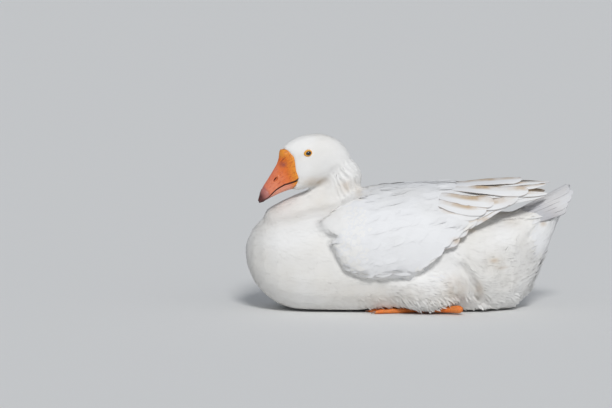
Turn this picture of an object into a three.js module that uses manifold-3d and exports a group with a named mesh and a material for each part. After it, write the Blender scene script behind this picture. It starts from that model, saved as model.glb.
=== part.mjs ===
// A white domestic goose, life size, lying on its belly with its neck drawn back.
// Millimetres, +Z up. The goose faces -Y, and its left side is +X. The origin is the middle of the flat
// under its belly, on the floor.
import * as THREE from "three";
import { mergeVertices } from "three/addons/utils/BufferGeometryUtils.js";
import Module from "manifold-3d";

const wasm = await Module();
wasm.setup();

const GAP = 0.3; // clearance between neighbouring pieces
const SIDES = { left: 1, right: -1 };

// ---------------------------------------------------------------- driving dimensions

// Sections across a body are rows of [station, bottom, widest height, top, half width].
// The body's stations run along Y, from the breast to the tips of the tail coverts.
const BODY = [
  [-251, 90, 93, 96, 1],
  [-246, 62, 93, 116, 34],
  [-232, 36, 93, 138, 60],
  [-206, 10, 93, 156, 82],
  [-165, -6, 93, 166, 95],
  [-100, -10, 92, 178, 103],
  [-30, -10, 90, 191, 106],
  [50, -10, 88, 190, 105],
  [110, -9, 88, 177, 98],
  [155, -7, 92, 157, 86],
  [188, -2, 100, 158, 68],
  [206, 12, 110, 164, 48],
  [226, 62, 128, 172, 29],
  [243, 117, 150, 179, 19],
  [256, 149, 166, 183, 12],
  [266, 172, 180, 186, 4],
];
const BODY_ROUNDNESS = { top: 2.1, bottom: 2.6 }; // superellipse exponents
const BODY_STATIONS = 20;
const BODY_SIDES = 22;
const RUMP_CUT_Y = 172; // where the rump is parted from the trunk

// The head's stations are millimetres forward of the corner of the mouth, in the head's own frame:
// its local -Y points along the closed bill.
const HEAD = [
  [65.5, -2.2, -1.2, -0.2, 0.8],
  [63, -4, -1, 3.8, 5],
  [58, -4.6, 0, 8.4, 8.6],
  [50, -5, 0, 13, 11],
  [36, -6, 0, 19.6, 13],
  [22, -8, 0, 27.4, 14.6],
  [10, -11, 0, 36, 16],
  [0, -16, 2, 46, 18.5],
  [-6, -19, 4, 53, 21],
  [-15, -22, 6, 57, 24],
  [-28, -27, 8, 58.5, 27],
  [-45, -29, 9, 56.5, 29.5],
  [-62, -29, 8, 51.5, 30],
  [-78, -27, 4, 42.5, 27.5],
  [-91, -23, -2, 29.5, 21.5],
  [-99, -18, -4, 15, 12],
  [-103, -8, -4, 0, 1],
];
const HEAD_STATIONS = 24;
const HEAD_SIDES = 16;
const SKULL_ROUNDNESS = 2.15; // superellipse exponents
const CULMEN_SHARPNESS = 1.65; // of the bill's ridge
const JAW_ROUNDNESS = 2.4;
const RIDGE_STARTS = { from: -20, full: 4 }; // where the skull's round top sharpens into the ridge
const HEAD_AT = new THREE.Vector3(20, -171, 208); // the corner of the mouth, on the head's middle plane
const HEAD_PITCH = THREE.MathUtils.degToRad(29); // bill down
const HEAD_YAW = THREE.MathUtils.degToRad(16); // bill to the goose's left

// Edges seen from the side, as [forward, up] in the head's frame.
const FACE_EDGE = [[-4, 62], [-5, 54], [-12, 48.5], [-15, 38.5], [-12.5, 29.5], [-6.6, 16.7],
  [-2.3, 0.2], [2, -5], [9, -9], [14, -13], [15, -30]];
const GAPE_LINE = [[-4, 0.4], [0, 0], [10.7, 1.5], [21, 3.3], [32.5, 3], [41.8, 1], [49.5, -1.2],
  [56, -2.2], [63, -3.6], [72, -5]];
const GAPE_WIDTH = 0.7;
const HEAD_CUT = { front: 120, mouthFront: 72, below: -60, above: 62, halfWidth: 60 }; // how far cuts reach
const NOSTRIL = { forward: 26.5, up: 17.8, length: 7.6, height: 3.6, tilt: THREE.MathUtils.degToRad(-14) };
const NAIL = { forward: 57.5, length: 18, width: 13, underside: 0.5 };
const EYE = { radius: 7.6, forward: -37.5, up: 29.8, out: 22.3, segments: 10 };

// The neck's rows are [y, z, half depth in the middle plane, half width], from inside the skull down
// to inside the breast.
const NECK = [
  [-112, 236, 27, 24],
  [-98, 212, 33, 28],
  [-99, 189, 35, 30],
  [-118, 164, 41, 35],
  [-148, 140, 50, 46],
  [-183, 114, 56, 60],
  [-190, 96, 50, 58],
];
const NECK_RINGS = 11;
const NECK_SIDES = 16;
const NECK_PARTING = 0.5; // share of the way down where the upper neck meets the lower
const NECK_BASE = [[-222, 240], [-220, 160], [-205, 143], [-150, 155], [-100, 170], [-66, 183],
  [-56, 197], [-52, 240]]; // [y, z] seen from the side, round the lower neck

// The folded wings lie on an envelope round the body; the same rows as BODY.
const WING_ENVELOPE = [
  [-135, 20, 107, 176, 98],
  [-90, 4, 106, 192, 115],
  [-40, 0, 104, 201, 121],
  [30, 2, 104, 204, 120],
  [90, 20, 112, 206, 109],
  [140, 45, 128, 210, 90],
  [190, 60, 148, 212, 61],
  [240, 80, 162, 206, 34],
];
const WING_ROUNDNESS = 2.2;
const WING_FRONT_Y = -129;
const WING_REAR_Y = 172;
const WING_LOW_EDGE = [[-129, 150], [-120, 130], [-112, 108], [-108, 90], [-99, 72], [-88, 60], [-70, 50],
  [-40, 44], [16, 50], [42, 63], [62, 82], [78, 104], [88, 114], [112, 129], [139, 151], [160, 167],
  [172, 177]];
const WING_HIGH_EDGE = [[-129, 154], [-112, 166], [-88, 178], [-62, 189], [-30, 198], [20, 202.6],
  [90, 204.5], [172, 209]];
const WING_THICKNESS = [[-129, 3], [-118, 18], [-95, 28], [40, 28], [110, 14], [172, 3]];
const WING_STATIONS = 14;
const WING_STEPS = 8; // across the wing's section, from its low edge to its high edge
const WING_ROUNDED = { low: 0.16, high: 0.45, edge: 0.04 }; // shares of the section that thin at its edges
const WING_NOTCH = { y: -97, z: 126, length: 40, up: 10.5, down: 19.5 }; // between shoulder and wrist
const COVERT_EDGE = [[-10, 235], [58, 214], [62, 190], [46, 150], [40, 110], [34, 30]]; // [y, z]

// Flight feathers, as places on the wing's envelope: y and the angle up from its widest line.
const TERTIALS = [
  { root: [60, 80], tip: [194, 73], width: 34 },
  { root: [60, 75], tip: [204, 41], width: 28 },
  { root: [50, 62], tip: [148, 35], width: 28 },
  { root: [44, 50], tip: [136, 28], width: 28 },
];
const PRIMARIES = [
  { root: [100, 35], tip: [239, 70], width: 15 },
  { root: [95, 22], tip: [233, 29], width: 16 },
];
const VANE_SHAPE = { root: 0.55, full: 0.35, tip: 0.72, tipPower: 2.2, tipWidth: 0.08 }; // mostly shares
const VANE_THICKNESS = { root: 3.4, tip: 1.2 };
const FEATHER_LIFT = 1.1; // each feather lies this much deeper than the one above it
const PRIMARY_DEPTH = 5;
const FEATHER_STATIONS = [0, 0.5, 0.88, 1]; // shares of the length, closer together at the tip
const FEATHER_COLUMNS = 2;

const TAIL = {
  feathers: 14,
  columnsPerFeather: 3,
  stations: [0, 0.5, 1],
  root: [0, 188, 159], // x, y, z of the fan's top at its root
  length: 92,
  lengthAcross: [[0, 1], [0.4, 1.06], [0.7, 0.96], [1, 0.74]], // shares of the length, out from the middle
  rise: THREE.MathUtils.degToRad(28), // of the middle feathers above level
  arch: THREE.MathUtils.degToRad(95), // how far round the outermost feathers lie
  archRadius: 26,
  flare: 7, // how much wider the arch is at the tips
  tipRound: 0.1,
  tipThickness: 1.4,
  rootThickness: 7,
};

const THIGH = { at: [78, 38, 44], size: [37, 68, 42] };
const SHANK = { hock: [90, 97, 9], ankle: [64, 26, 7], radius: 6.5 };
const FOOT = {
  at: [62, 24, 0],
  toes: [{ length: 62, turn: -17 }, { length: 76, turn: 0 }, { length: 68, turn: 17 }],
  hindToe: { length: 16, turn: 160 },
  toeRadius: 4.4,
  toeTipHeight: 2.7,
  webEdge: 0.94, // how far along the toes the web reaches, as a share
  webDip: 0.86, // of the web's front edge between the toes
  webThickness: 3,
  yaw: THREE.MathUtils.degToRad(4),
};
const REST_FLAT_Z = 0;
const OUTSIDE = 800; // side of the boxes that cut the whole goose

// ---------------------------------------------------------------- materials

const paint = (color, roughness) => new THREE.MeshStandardMaterial({ color, roughness, metalness: 0 });
const MATERIALS = {
  plumage: paint(0xf1efea, 0.8),
  flight: paint(0xf4f2ee, 0.65),
  bill: paint(0xe8853a, 0.45),
  nail: paint(0xc9a198, 0.4),
  eye: paint(0x1d1a1c, 0.08),
  foot: paint(0xe87f35, 0.55),
};

// ---------------------------------------------------------------- curves

const clamp01 = (t) => Math.min(1, Math.max(0, t));

/** A smooth function through [position, value] keys that never overshoots them. */
function profile(keys) {
  const sorted = [...keys].sort((a, b) => a[0] - b[0]);
  const x = sorted.map((k) => k[0]);
  const y = sorted.map((k) => k[1]);
  const slope = x.slice(1).map((_, i) => (y[i + 1] - y[i]) / (x[i + 1] - x[i]));
  const tangent = x.map((_, i) => {
    if (i === 0) return slope[0];
    if (i === x.length - 1) return slope[i - 1];
    const [before, after] = [slope[i - 1], slope[i]];
    return before * after <= 0 ? 0 : (2 * before * after) / (before + after);
  });
  return (at) => {
    const p = Math.min(x[x.length - 1], Math.max(x[0], at));
    let i = 0;
    while (i < x.length - 2 && p > x[i + 1]) i++;
    const h = x[i + 1] - x[i];
    const t = (p - x[i]) / h;
    const hermite = (1 + 2 * t) * (1 - t) ** 2 * y[i] + t * (1 - t) ** 2 * h * tangent[i];
    return hermite + t * t * (3 - 2 * t) * y[i + 1] + t * t * (t - 1) * h * tangent[i + 1];
  };
}

/** Section rows as four smooth functions of the station. */
function sections(rows) {
  const column = (i) => profile(rows.map((row) => [row[0], row[i]]));
  return { bottom: column(1), widest: column(2), top: column(3), halfWidth: column(4) };
}

const signedPower = (v, p) => Math.sign(v) * Math.abs(v) ** p;

/** [x, z] on a section at an angle from its widest line, on the +X side, up being positive. */
function sectionPoint(body, station, angle, { top, bottom }, grow = 0) {
  const round = Math.sin(angle) >= 0 ? top : bottom;
  const middle = body.widest(station);
  const reach = Math.sin(angle) >= 0 ? body.top(station) - middle : middle - body.bottom(station);
  const x = (body.halfWidth(station) + grow) * signedPower(Math.cos(angle), 2 / round);
  return [x, middle + (reach + grow) * signedPower(Math.sin(angle), 2 / round)];
}

/** n stations from a to b, closer together towards both ends. */
function easedStations(a, b, n) {
  return Array.from({ length: n }, (_, i) => a + ((b - a) * (1 - Math.cos((Math.PI * i) / (n - 1)))) / 2);
}

// ---------------------------------------------------------------- solids

/**
 * A closed geometry through rings of points, with a fan at each end. A sheet, whose rings run out along
 * its top and back along its underside, is closed by a strip instead.
 */
function skinRings(rings, sheet = false) {
  const n = rings[0].length;
  const position = rings.flat().flatMap((p) => [p.x, p.y, p.z]);
  const index = [];
  for (let r = 0; r + 1 < rings.length; r++) {
    for (let i = 0; i < n; i++) {
      const [a, b] = [r * n + i, r * n + ((i + 1) % n)];
      index.push(a, b, b + n, a, b + n, a + n);
    }
  }
  for (const [start, flip] of [[0, true], [(rings.length - 1) * n, false]]) {
    const close = (a, b, c) => index.push(...(flip ? [b, a, c] : [a, b, c]));
    if (sheet) {
      for (let i = 0; i + 1 < n / 2; i++) {
        const [outer, inner] = [start + i, start + n - 1 - i];
        close(outer, outer + 1, inner - 1);
        close(outer, inner - 1, inner);
      }
      continue;
    }
    const ring = rings[start / n];
    const middle = ring.reduce((sum, p) => sum.add(p), new THREE.Vector3()).divideScalar(n);
    const centre = position.length / 3;
    position.push(middle.x, middle.y, middle.z);
    for (let i = 0; i < n; i++) close(start + i, start + ((i + 1) % n), centre);
  }
  const geometry = new THREE.BufferGeometry();
  geometry.setAttribute("position", new THREE.Float32BufferAttribute(position, 3));
  geometry.setIndex(index);
  return geometry;
}

/** A geometry as a manifold solid, turned right side out. */
function toSolid(geometry) {
  const bare = geometry.clone();
  bare.deleteAttribute("normal");
  bare.deleteAttribute("uv");
  const merged = mergeVertices(bare, 1e-4);
  const vertProperties = new Float32Array(merged.attributes.position.array);
  const make = (triVerts) => new wasm.Manifold(new wasm.Mesh({ numProp: 3, vertProperties, triVerts }));
  const made = make(new Uint32Array(merged.index.array));
  return made.volume() > 0 ? made : make(new Uint32Array(merged.index.array).reverse());
}

/** The largest of a solid's separate bodies: a cut can leave crumbs. */
function largest(solid) {
  return solid.decompose().reduce((a, b) => (b.volume() > a.volume() ? b : a));
}

const unite = (solids) => solids.reduce((a, b) => a.add(b));

function meshOf(name, solid, material) {
  const made = largest(solid).getMesh();
  const geometry = new THREE.BufferGeometry();
  geometry.setAttribute("position", new THREE.BufferAttribute(new Float32Array(made.vertProperties), 3));
  geometry.setIndex(new THREE.BufferAttribute(new Uint32Array(made.triVerts), 1));
  geometry.computeVertexNormals();
  const mesh = new THREE.Mesh(geometry, material);
  mesh.name = name;
  return mesh;
}

/** A prism across the model along X, from an outline of [y, z] points. */
function prismAcross(outline, halfLength = 200) {
  const shape = new THREE.Shape(outline.map(([y, z]) => new THREE.Vector2(y, z)));
  const geometry = new THREE.ExtrudeGeometry(shape, { depth: 2 * halfLength, bevelEnabled: false });
  geometry.translate(0, 0, -halfLength);
  // The shape's axes (x, y, depth) become (y, z, x).
  geometry.applyMatrix4(new THREE.Matrix4().set(0, 0, 1, 0, 1, 0, 0, 0, 0, 1, 0, 0, 0, 0, 0, 1));
  return toSolid(geometry);
}

/** Points of a smooth line through [a, b] keys. */
function smoothLine(keys, steps) {
  const curve = new THREE.SplineCurve(keys.map(([a, b]) => new THREE.Vector2(a, b)));
  return curve.getPoints(steps).map((p) => [p.x, p.y]);
}

function ellipsoid([x, y, z], [a, b, c], segments = 20) {
  const geometry = new THREE.SphereGeometry(1, segments, Math.round(segments * 0.7));
  geometry.scale(a, b, c);
  geometry.translate(x, y, z);
  return toSolid(geometry);
}

/** Everything above the floor. */
function aboveFloor(solid) {
  const below = new THREE.BoxGeometry(OUTSIDE, OUTSIDE, OUTSIDE);
  below.translate(0, 0, REST_FLAT_Z - OUTSIDE / 2);
  return solid.subtract(toSolid(below));
}

// ---------------------------------------------------------------- trunk and rump

function bodySolid(grow = 0) {
  const body = sections(BODY);
  const [first, last] = [BODY[0][0], BODY[BODY.length - 1][0]];
  const rings = easedStations(first, last, BODY_STATIONS).map((y) =>
    Array.from({ length: BODY_SIDES }, (_, i) => {
      const [x, z] = sectionPoint(body, y, (2 * Math.PI * i) / BODY_SIDES, BODY_ROUNDNESS, grow);
      return new THREE.Vector3(x, y, z);
    }),
  );
  rings[0].forEach((p) => (p.y -= grow));
  rings[rings.length - 1].forEach((p) => (p.y += grow));
  return toSolid(skinRings(rings));
}

/** A slab across Y, to part the rump from the trunk. */
function acrossY(y0, y1) {
  const box = new THREE.BoxGeometry(OUTSIDE, y1 - y0, OUTSIDE);
  box.translate(0, (y0 + y1) / 2, 0);
  return toSolid(box);
}

// ---------------------------------------------------------------- neck

function neckSolid(grow = 0) {
  const path = new THREE.CatmullRomCurve3(NECK.map(([y, z]) => new THREE.Vector3(0, y, z)));
  const share = (i) => i / (NECK.length - 1);
  const depth = profile(NECK.map((row, i) => [share(i), row[2]]));
  const width = profile(NECK.map((row, i) => [share(i), row[3]]));
  const rings = Array.from({ length: NECK_RINGS }, (_, r) => {
    const t = r / (NECK_RINGS - 1);
    const centre = path.getPoint(t);
    const along = path.getTangent(t);
    const forward = new THREE.Vector3(0, -along.z, along.y); // across the neck in the middle plane
    return Array.from({ length: NECK_SIDES }, (_, i) => {
      const angle = (2 * Math.PI * i) / NECK_SIDES;
      return centre.clone().addScaledVector(forward, (depth(t) + grow) * Math.sin(angle))
        .add(new THREE.Vector3((width(t) + grow) * Math.cos(angle), 0, 0));
    });
  });
  return toSolid(skinRings(rings));
}

/** A half space across the neck at the parting, on the head's side. */
function neckUpperSide(shift = 0) {
  const path = new THREE.CatmullRomCurve3(NECK.map(([y, z]) => new THREE.Vector3(0, y, z)));
  const at = path.getPoint(NECK_PARTING);
  const along = path.getTangent(NECK_PARTING);
  const box = new THREE.BoxGeometry(OUTSIDE, OUTSIDE, OUTSIDE);
  box.translate(0, 0, -OUTSIDE / 2 + shift);
  const turn = new THREE.Quaternion().setFromUnitVectors(new THREE.Vector3(0, 0, 1), along);
  box.applyQuaternion(turn);
  box.translate(at.x, at.y, at.z);
  return toSolid(box);
}

/** The space inside the line that parts the lower neck from the trunk, grown by shift. */
function aboveNeckBase(shift = 0) {
  const middle = (NECK_BASE[0][0] + NECK_BASE[NECK_BASE.length - 1][0]) / 2;
  const line = smoothLine(NECK_BASE, 14);
  return prismAcross(line.map(([y, z]) => [y + shift * Math.sign(y - middle), z - shift]));
}

// ---------------------------------------------------------------- head, bill and eyes, in the head's frame

function wholeHead(grow = 0) {
  const head = sections(HEAD);
  const { from, full } = RIDGE_STARTS;
  const ridge = profile([[from, SKULL_ROUNDNESS], [full, CULMEN_SHARPNESS], [HEAD[0][0], CULMEN_SHARPNESS]]);
  const [first, last] = [HEAD[0][0], HEAD[HEAD.length - 1][0]];
  const rings = easedStations(first, last, HEAD_STATIONS).map((u) =>
    Array.from({ length: HEAD_SIDES }, (_, i) => {
      const round = { top: ridge(u), bottom: JAW_ROUNDNESS };
      const [x, z] = sectionPoint(head, u, (2 * Math.PI * i) / HEAD_SIDES, round, grow);
      return new THREE.Vector3(x, -u, z);
    }),
  );
  return toSolid(skinRings(rings));
}

/** The space in front of the edge of the face's feathers, moved forward by shift. */
function billSide(shift = 0) {
  const edge = smoothLine(FACE_EDGE, 14).map(([u, z]) => [-(u + shift), z]);
  const { front, above } = HEAD_CUT;
  const lowest = FACE_EDGE[FACE_EDGE.length - 1][1];
  return prismAcross([...edge, [-front, lowest], [-front, above]], HEAD_CUT.halfWidth);
}

/** The space below the line where the bill closes, moved by shift. */
function belowGape(shift = 0) {
  const line = smoothLine(GAPE_LINE, 10).map(([u, z]) => [-u, z + shift]);
  const { mouthFront, below } = HEAD_CUT;
  return prismAcross([...line, [-mouthFront, below], [-GAPE_LINE[0][0], below]], HEAD_CUT.halfWidth);
}

function nostrilSlot() {
  const oval = new THREE.EllipseCurve(0, 0, NOSTRIL.length / 2, NOSTRIL.height / 2);
  const centre = new THREE.Vector2();
  const outline = oval.getPoints(10).slice(0, 10).map((p) => {
    const q = p.rotateAround(centre, NOSTRIL.tilt);
    return [-(NOSTRIL.forward + q.x), NOSTRIL.up + q.y];
  });
  return prismAcross(outline, HEAD_CUT.halfWidth);
}

/** The nail's share of the bill: an upright oval column at its tip. */
function nailColumn(grow = 0) {
  const height = 40;
  const column = new THREE.CylinderGeometry(1, 1, height, 16);
  column.rotateX(Math.PI / 2);
  column.scale(NAIL.width / 2 + grow, NAIL.length / 2 + grow, 1);
  column.translate(0, -NAIL.forward, NAIL.underside + height / 2);
  return toSolid(column);
}

function eyeball(side, grow = 0) {
  const r = EYE.radius + grow;
  return ellipsoid([side * EYE.out, -EYE.forward, EYE.up], [r, r, r], EYE.segments);
}

// ---------------------------------------------------------------- wings

const envelope = sections(WING_ENVELOPE);
const wingLow = profile(WING_LOW_EDGE);
const wingHigh = profile(WING_HIGH_EDGE);
const wingThickness = profile(WING_THICKNESS);
const WING_ROUND = { top: WING_ROUNDNESS, bottom: WING_ROUNDNESS };

/** The angle on the wing's envelope at a height. */
function envelopeAngle(y, z) {
  const middle = envelope.widest(y);
  const reach = z >= middle ? envelope.top(y) - middle : middle - envelope.bottom(y);
  const share = Math.min(0.9995, Math.abs(z - middle) / reach);
  return Math.sign(z - middle) * Math.asin(share ** (WING_ROUNDNESS / 2));
}

/** A point on the wing's envelope, sunk towards the body by depth. */
function wingPoint(side, y, angle, depth) {
  const [x, z] = sectionPoint(envelope, y, angle, WING_ROUND, -depth);
  return new THREE.Vector3(side * x, y, z);
}

function wingShell(side) {
  const rings = easedStations(WING_FRONT_Y, WING_REAR_Y, WING_STATIONS).map((y) => {
    const low = envelopeAngle(y, wingLow(y));
    const high = envelopeAngle(y, wingHigh(y));
    const thick = wingThickness(y);
    const at = (j) => {
      const share = j / WING_STEPS;
      const lowEdge = Math.sqrt(1 - (1 - clamp01(share / WING_ROUNDED.low)) ** 2);
      const highEdge = Math.sqrt(1 - (1 - clamp01((1 - share) / WING_ROUNDED.high)) ** 2);
      const rounding = Math.max(WING_ROUNDED.edge, lowEdge * highEdge);
      return { angle: low + (high - low) * share, half: (thick / 2) * rounding };
    };
    const outer = [];
    const inner = [];
    for (let j = 0; j <= WING_STEPS; j++) {
      const { angle, half } = at(j);
      const middleDepth = j / WING_STEPS > 0.5 ? half : thick / 2;
      outer.push(wingPoint(side, y, angle, middleDepth - half));
      inner.push(wingPoint(side, y, angle, middleDepth + half));
    }
    return [...outer, ...inner.reverse()];
  });
  return toSolid(skinRings(rings, true));
}

/** The width of a feather along its length, as a share of its full width. */
function vaneWidth(s) {
  const base = VANE_SHAPE.root + (1 - VANE_SHAPE.root) * Math.min(1, s / VANE_SHAPE.full);
  const intoTip = clamp01((s - VANE_SHAPE.tip) / (1 - VANE_SHAPE.tip));
  return base * Math.max(VANE_SHAPE.tipWidth, Math.sqrt(1 - intoTip ** VANE_SHAPE.tipPower));
}

/** A flight feather lying on the wing's envelope. */
function wingFeather(side, { root, tip, width }, depth) {
  const across = FEATHER_COLUMNS;
  const rings = FEATHER_STATIONS.map((s) => {
    const y = root[0] + (tip[0] - root[0]) * s;
    const middle = THREE.MathUtils.degToRad(root[1] + (tip[1] - root[1]) * s);
    const arm = Math.max(20, (envelope.halfWidth(y) + envelope.top(y) - envelope.widest(y)) / 2);
    const halfAngle = (width * vaneWidth(s)) / 2 / arm;
    const thick = VANE_THICKNESS.root + (VANE_THICKNESS.tip - VANE_THICKNESS.root) * s;
    const row = (d) => Array.from({ length: across + 1 }, (_, j) => {
      const angle = Math.min(Math.PI / 2 - 0.02, middle + halfAngle * ((2 * j) / across - 1));
      return wingPoint(side, y, angle, d);
    });
    return [...row(depth), ...row(depth + thick).reverse()];
  });
  return toSolid(skinRings(rings, true));
}

function flightFeathers(side) {
  const tertials = TERTIALS.map((feather, i) => wingFeather(side, feather, 0.4 + i * FEATHER_LIFT));
  const deeper = (i) => PRIMARY_DEPTH + i * FEATHER_LIFT;
  const primaries = PRIMARIES.map((feather, i) => wingFeather(side, feather, deeper(i)));
  return unite([...tertials, ...primaries]);
}

/** The open wedge between shoulder and wrist, at the front of the folded wing. */
function wingNotch() {
  const { y, z, length, up, down } = WING_NOTCH;
  return prismAcross([[y, z], [y - length, z + up], [y - length, z - down]]);
}

/** The flight feathers' share of the wing: everything behind the edge of the coverts. */
function behindCoverts(shift = 0) {
  const edge = smoothLine(COVERT_EDGE, 24).map(([y, z]) => [y + shift, z]);
  return prismAcross([...edge, [300, 30], [300, 235]]);
}

// ---------------------------------------------------------------- tail

const tailLength = profile(TAIL.lengthAcross);

/** A place on the fan of tail feathers: across from -1 to 1, s along it, sunk into it by depth. */
function tailPoint(across, s, depth) {
  const lane = ((across + 1) / 2) * TAIL.feathers;
  const fromShaft = Math.abs(lane - Math.floor(lane) - 0.5) * 2; // 0 at a shaft, 1 at an edge
  const scallop = 1 - TAIL.tipRound * fromShaft ** 2.4;
  const length = TAIL.length * tailLength(Math.abs(across)) * scallop;
  const roll = across * TAIL.arch;
  const radius = TAIL.archRadius + TAIL.flare * s;
  const height = radius * (Math.cos(roll) - 1) - depth * Math.cos(roll);
  return new THREE.Vector3((radius - depth) * Math.sin(roll), length * s, height)
    .applyAxisAngle(new THREE.Vector3(1, 0, 0), TAIL.rise)
    .add(new THREE.Vector3(...TAIL.root));
}

function tailSolid() {
  const columns = TAIL.feathers * TAIL.columnsPerFeather;
  const rings = TAIL.stations.map((s) => {
    const row = (depth) =>
      Array.from({ length: columns + 1 }, (_, i) => tailPoint((2 * i) / columns - 1, s, depth));
    const thick = TAIL.tipThickness + (TAIL.rootThickness - TAIL.tipThickness) * (1 - s);
    return [...row(0), ...row(thick).reverse()];
  });
  return toSolid(skinRings(rings, true));
}

// ---------------------------------------------------------------- legs

function thighSolid(side, grow = 0) {
  const [x, y, z] = THIGH.at;
  return ellipsoid([side * x, y, z], THIGH.size.map((r) => r + grow), 16);
}

/** A round rod from a to b with ball ends. */
function rod(a, b, radius, sides = 6) {
  const [from, to] = [new THREE.Vector3(...a), new THREE.Vector3(...b)];
  const geometry = new THREE.CapsuleGeometry(radius, from.distanceTo(to), 2, sides);
  const turn = new THREE.Quaternion().setFromUnitVectors(
    new THREE.Vector3(0, 1, 0),
    to.clone().sub(from).normalize(),
  );
  geometry.applyQuaternion(turn);
  geometry.translate(...from.add(to).multiplyScalar(0.5));
  return toSolid(geometry);
}

function shankSolid(side, grow = 0) {
  const mirror = ([x, y, z]) => [side * x, y, z];
  return rod(mirror(SHANK.hock), mirror(SHANK.ankle), SHANK.radius + grow);
}

/** Where a toe ends, from the ankle, in the foot's own frame: toes point to -Y. */
function toeTip(side, { length, turn }) {
  const angle = THREE.MathUtils.degToRad(turn) * side;
  return [Math.sin(angle) * length, -Math.cos(angle) * length];
}

function footSolid(side, grow = 0) {
  const r = FOOT.toeRadius + grow;
  const all = [...FOOT.toes, FOOT.hindToe];
  const toes = all.map((toe) => {
    const [x, y] = toeTip(side, toe);
    return rod([0, 0, FOOT.toeRadius], [x, y, FOOT.toeTipHeight], r);
  });
  const tips = FOOT.toes.map((toe) => new THREE.Vector2(...toeTip(side, toe)).multiplyScalar(FOOT.webEdge));
  const web = new THREE.Shape();
  web.moveTo(0, 0);
  web.lineTo(tips[0].x, tips[0].y);
  for (let i = 0; i + 1 < tips.length; i++) {
    const dip = tips[i].clone().add(tips[i + 1]).multiplyScalar(FOOT.webDip / 2);
    web.quadraticCurveTo(dip.x, dip.y, tips[i + 1].x, tips[i + 1].y);
  }
  web.closePath();
  const sheet = new THREE.ExtrudeGeometry(web, {
    depth: FOOT.webThickness + grow,
    bevelEnabled: false,
    curveSegments: 2,
  });
  const made = unite([...toes, toSolid(sheet)]);
  const place = new THREE.Matrix4()
    .makeTranslation(side * FOOT.at[0], FOOT.at[1], FOOT.at[2])
    .multiply(new THREE.Matrix4().makeRotationZ(-side * FOOT.yaw));
  return made.transform(place.elements);
}

// ---------------------------------------------------------------- assembly

const goose = new THREE.Group();
const headGroup = new THREE.Group();
headGroup.position.copy(HEAD_AT);
headGroup.rotation.set(HEAD_PITCH, 0, HEAD_YAW, "ZYX");
headGroup.updateMatrix();
goose.add(headGroup);

// The head's pieces, parted by thin cuts.
const sockets = unite([eyeball(SIDES.left, GAP), eyeball(SIDES.right, GAP)]);
const bill = wholeHead().intersect(billSide());
const head = wholeHead().subtract(billSide(-GAP)).subtract(sockets);
const upperBill = bill.subtract(belowGape(GAPE_WIDTH / 2)).subtract(nostrilSlot());
headGroup.add(meshOf("head", head, MATERIALS.plumage));
headGroup.add(meshOf("bill_upper", upperBill.subtract(nailColumn(GAP)), MATERIALS.bill));
headGroup.add(meshOf("bill_nail", upperBill.intersect(nailColumn()), MATERIALS.nail));
headGroup.add(meshOf("bill_lower", bill.intersect(belowGape(-GAPE_WIDTH / 2)), MATERIALS.bill));
for (const [name, side] of Object.entries(SIDES)) {
  headGroup.add(meshOf(`eye_${name}`, eyeball(side), MATERIALS.eye));
}

const grownHead = wholeHead(GAP).transform(headGroup.matrix.elements);
const legs = Object.values(SIDES).flatMap((side) => [shankSolid(side, GAP), footSolid(side, GAP)]);
const bodyAndNeck = aboveFloor(bodySolid()).add(neckSolid()).subtract(unite(legs)).subtract(grownHead);
const neck = bodyAndNeck.intersect(aboveNeckBase());
goose.add(meshOf("neck_upper", neck.intersect(neckUpperSide()), MATERIALS.plumage));
goose.add(meshOf("neck_lower", neck.subtract(neckUpperSide(GAP)), MATERIALS.plumage));

const body = bodyAndNeck.subtract(aboveNeckBase(GAP));
const rump = acrossY(RUMP_CUT_Y, 400);
goose.add(meshOf("trunk", body.subtract(acrossY(RUMP_CUT_Y - GAP, 400)), MATERIALS.plumage));
goose.add(meshOf("rump", body.intersect(rump), MATERIALS.plumage));
goose.add(meshOf("tail", tailSolid().subtract(bodySolid(GAP)), MATERIALS.flight));

for (const [name, side] of Object.entries(SIDES)) {
  const around = unite([bodySolid(GAP), neckSolid(GAP), grownHead, tailSolid()]);
  const wing = unite([wingShell(side), flightFeathers(side)]).subtract(wingNotch()).subtract(around);
  const coverts = largest(wing.subtract(behindCoverts(-GAP)));
  const flight = largest(wing.intersect(behindCoverts()));
  goose.add(meshOf(`wing_${name}_coverts`, coverts, MATERIALS.plumage));
  goose.add(meshOf(`wing_${name}_flight`, flight, MATERIALS.flight));

  const foot = aboveFloor(footSolid(side)).subtract(shankSolid(side, GAP));
  const shank = aboveFloor(shankSolid(side));
  const grownWing = unite([wingShell(side), flightFeathers(side)]);
  const leg = unite([shankSolid(side, GAP), footSolid(side, GAP)]);
  const thigh = aboveFloor(thighSolid(side)).subtract(bodySolid(GAP)).subtract(leg);
  goose.add(meshOf(`thigh_${name}`, thigh.subtract(grownWing), MATERIALS.plumage));
  goose.add(meshOf(`shank_${name}`, shank, MATERIALS.foot));
  goose.add(meshOf(`foot_${name}`, foot, MATERIALS.foot));
}

export default goose;
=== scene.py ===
"""A white domestic goose lying on its belly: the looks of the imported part, in metres, in its own frame.

The goose faces -Y, its left side is +X, and it rests on the floor at z = 0. Each CAD node of flesh or
plumage is the outer shape of the coat. One skin runs inside them all, and the coat grows from it.
"""

from math import cos, pi, radians, sin

import bmesh
import bpy
import numpy as np
from mathutils import Matrix, Vector, noise
from mathutils.bvhtree import BVHTree
from mathutils.kdtree import KDTree


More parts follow.
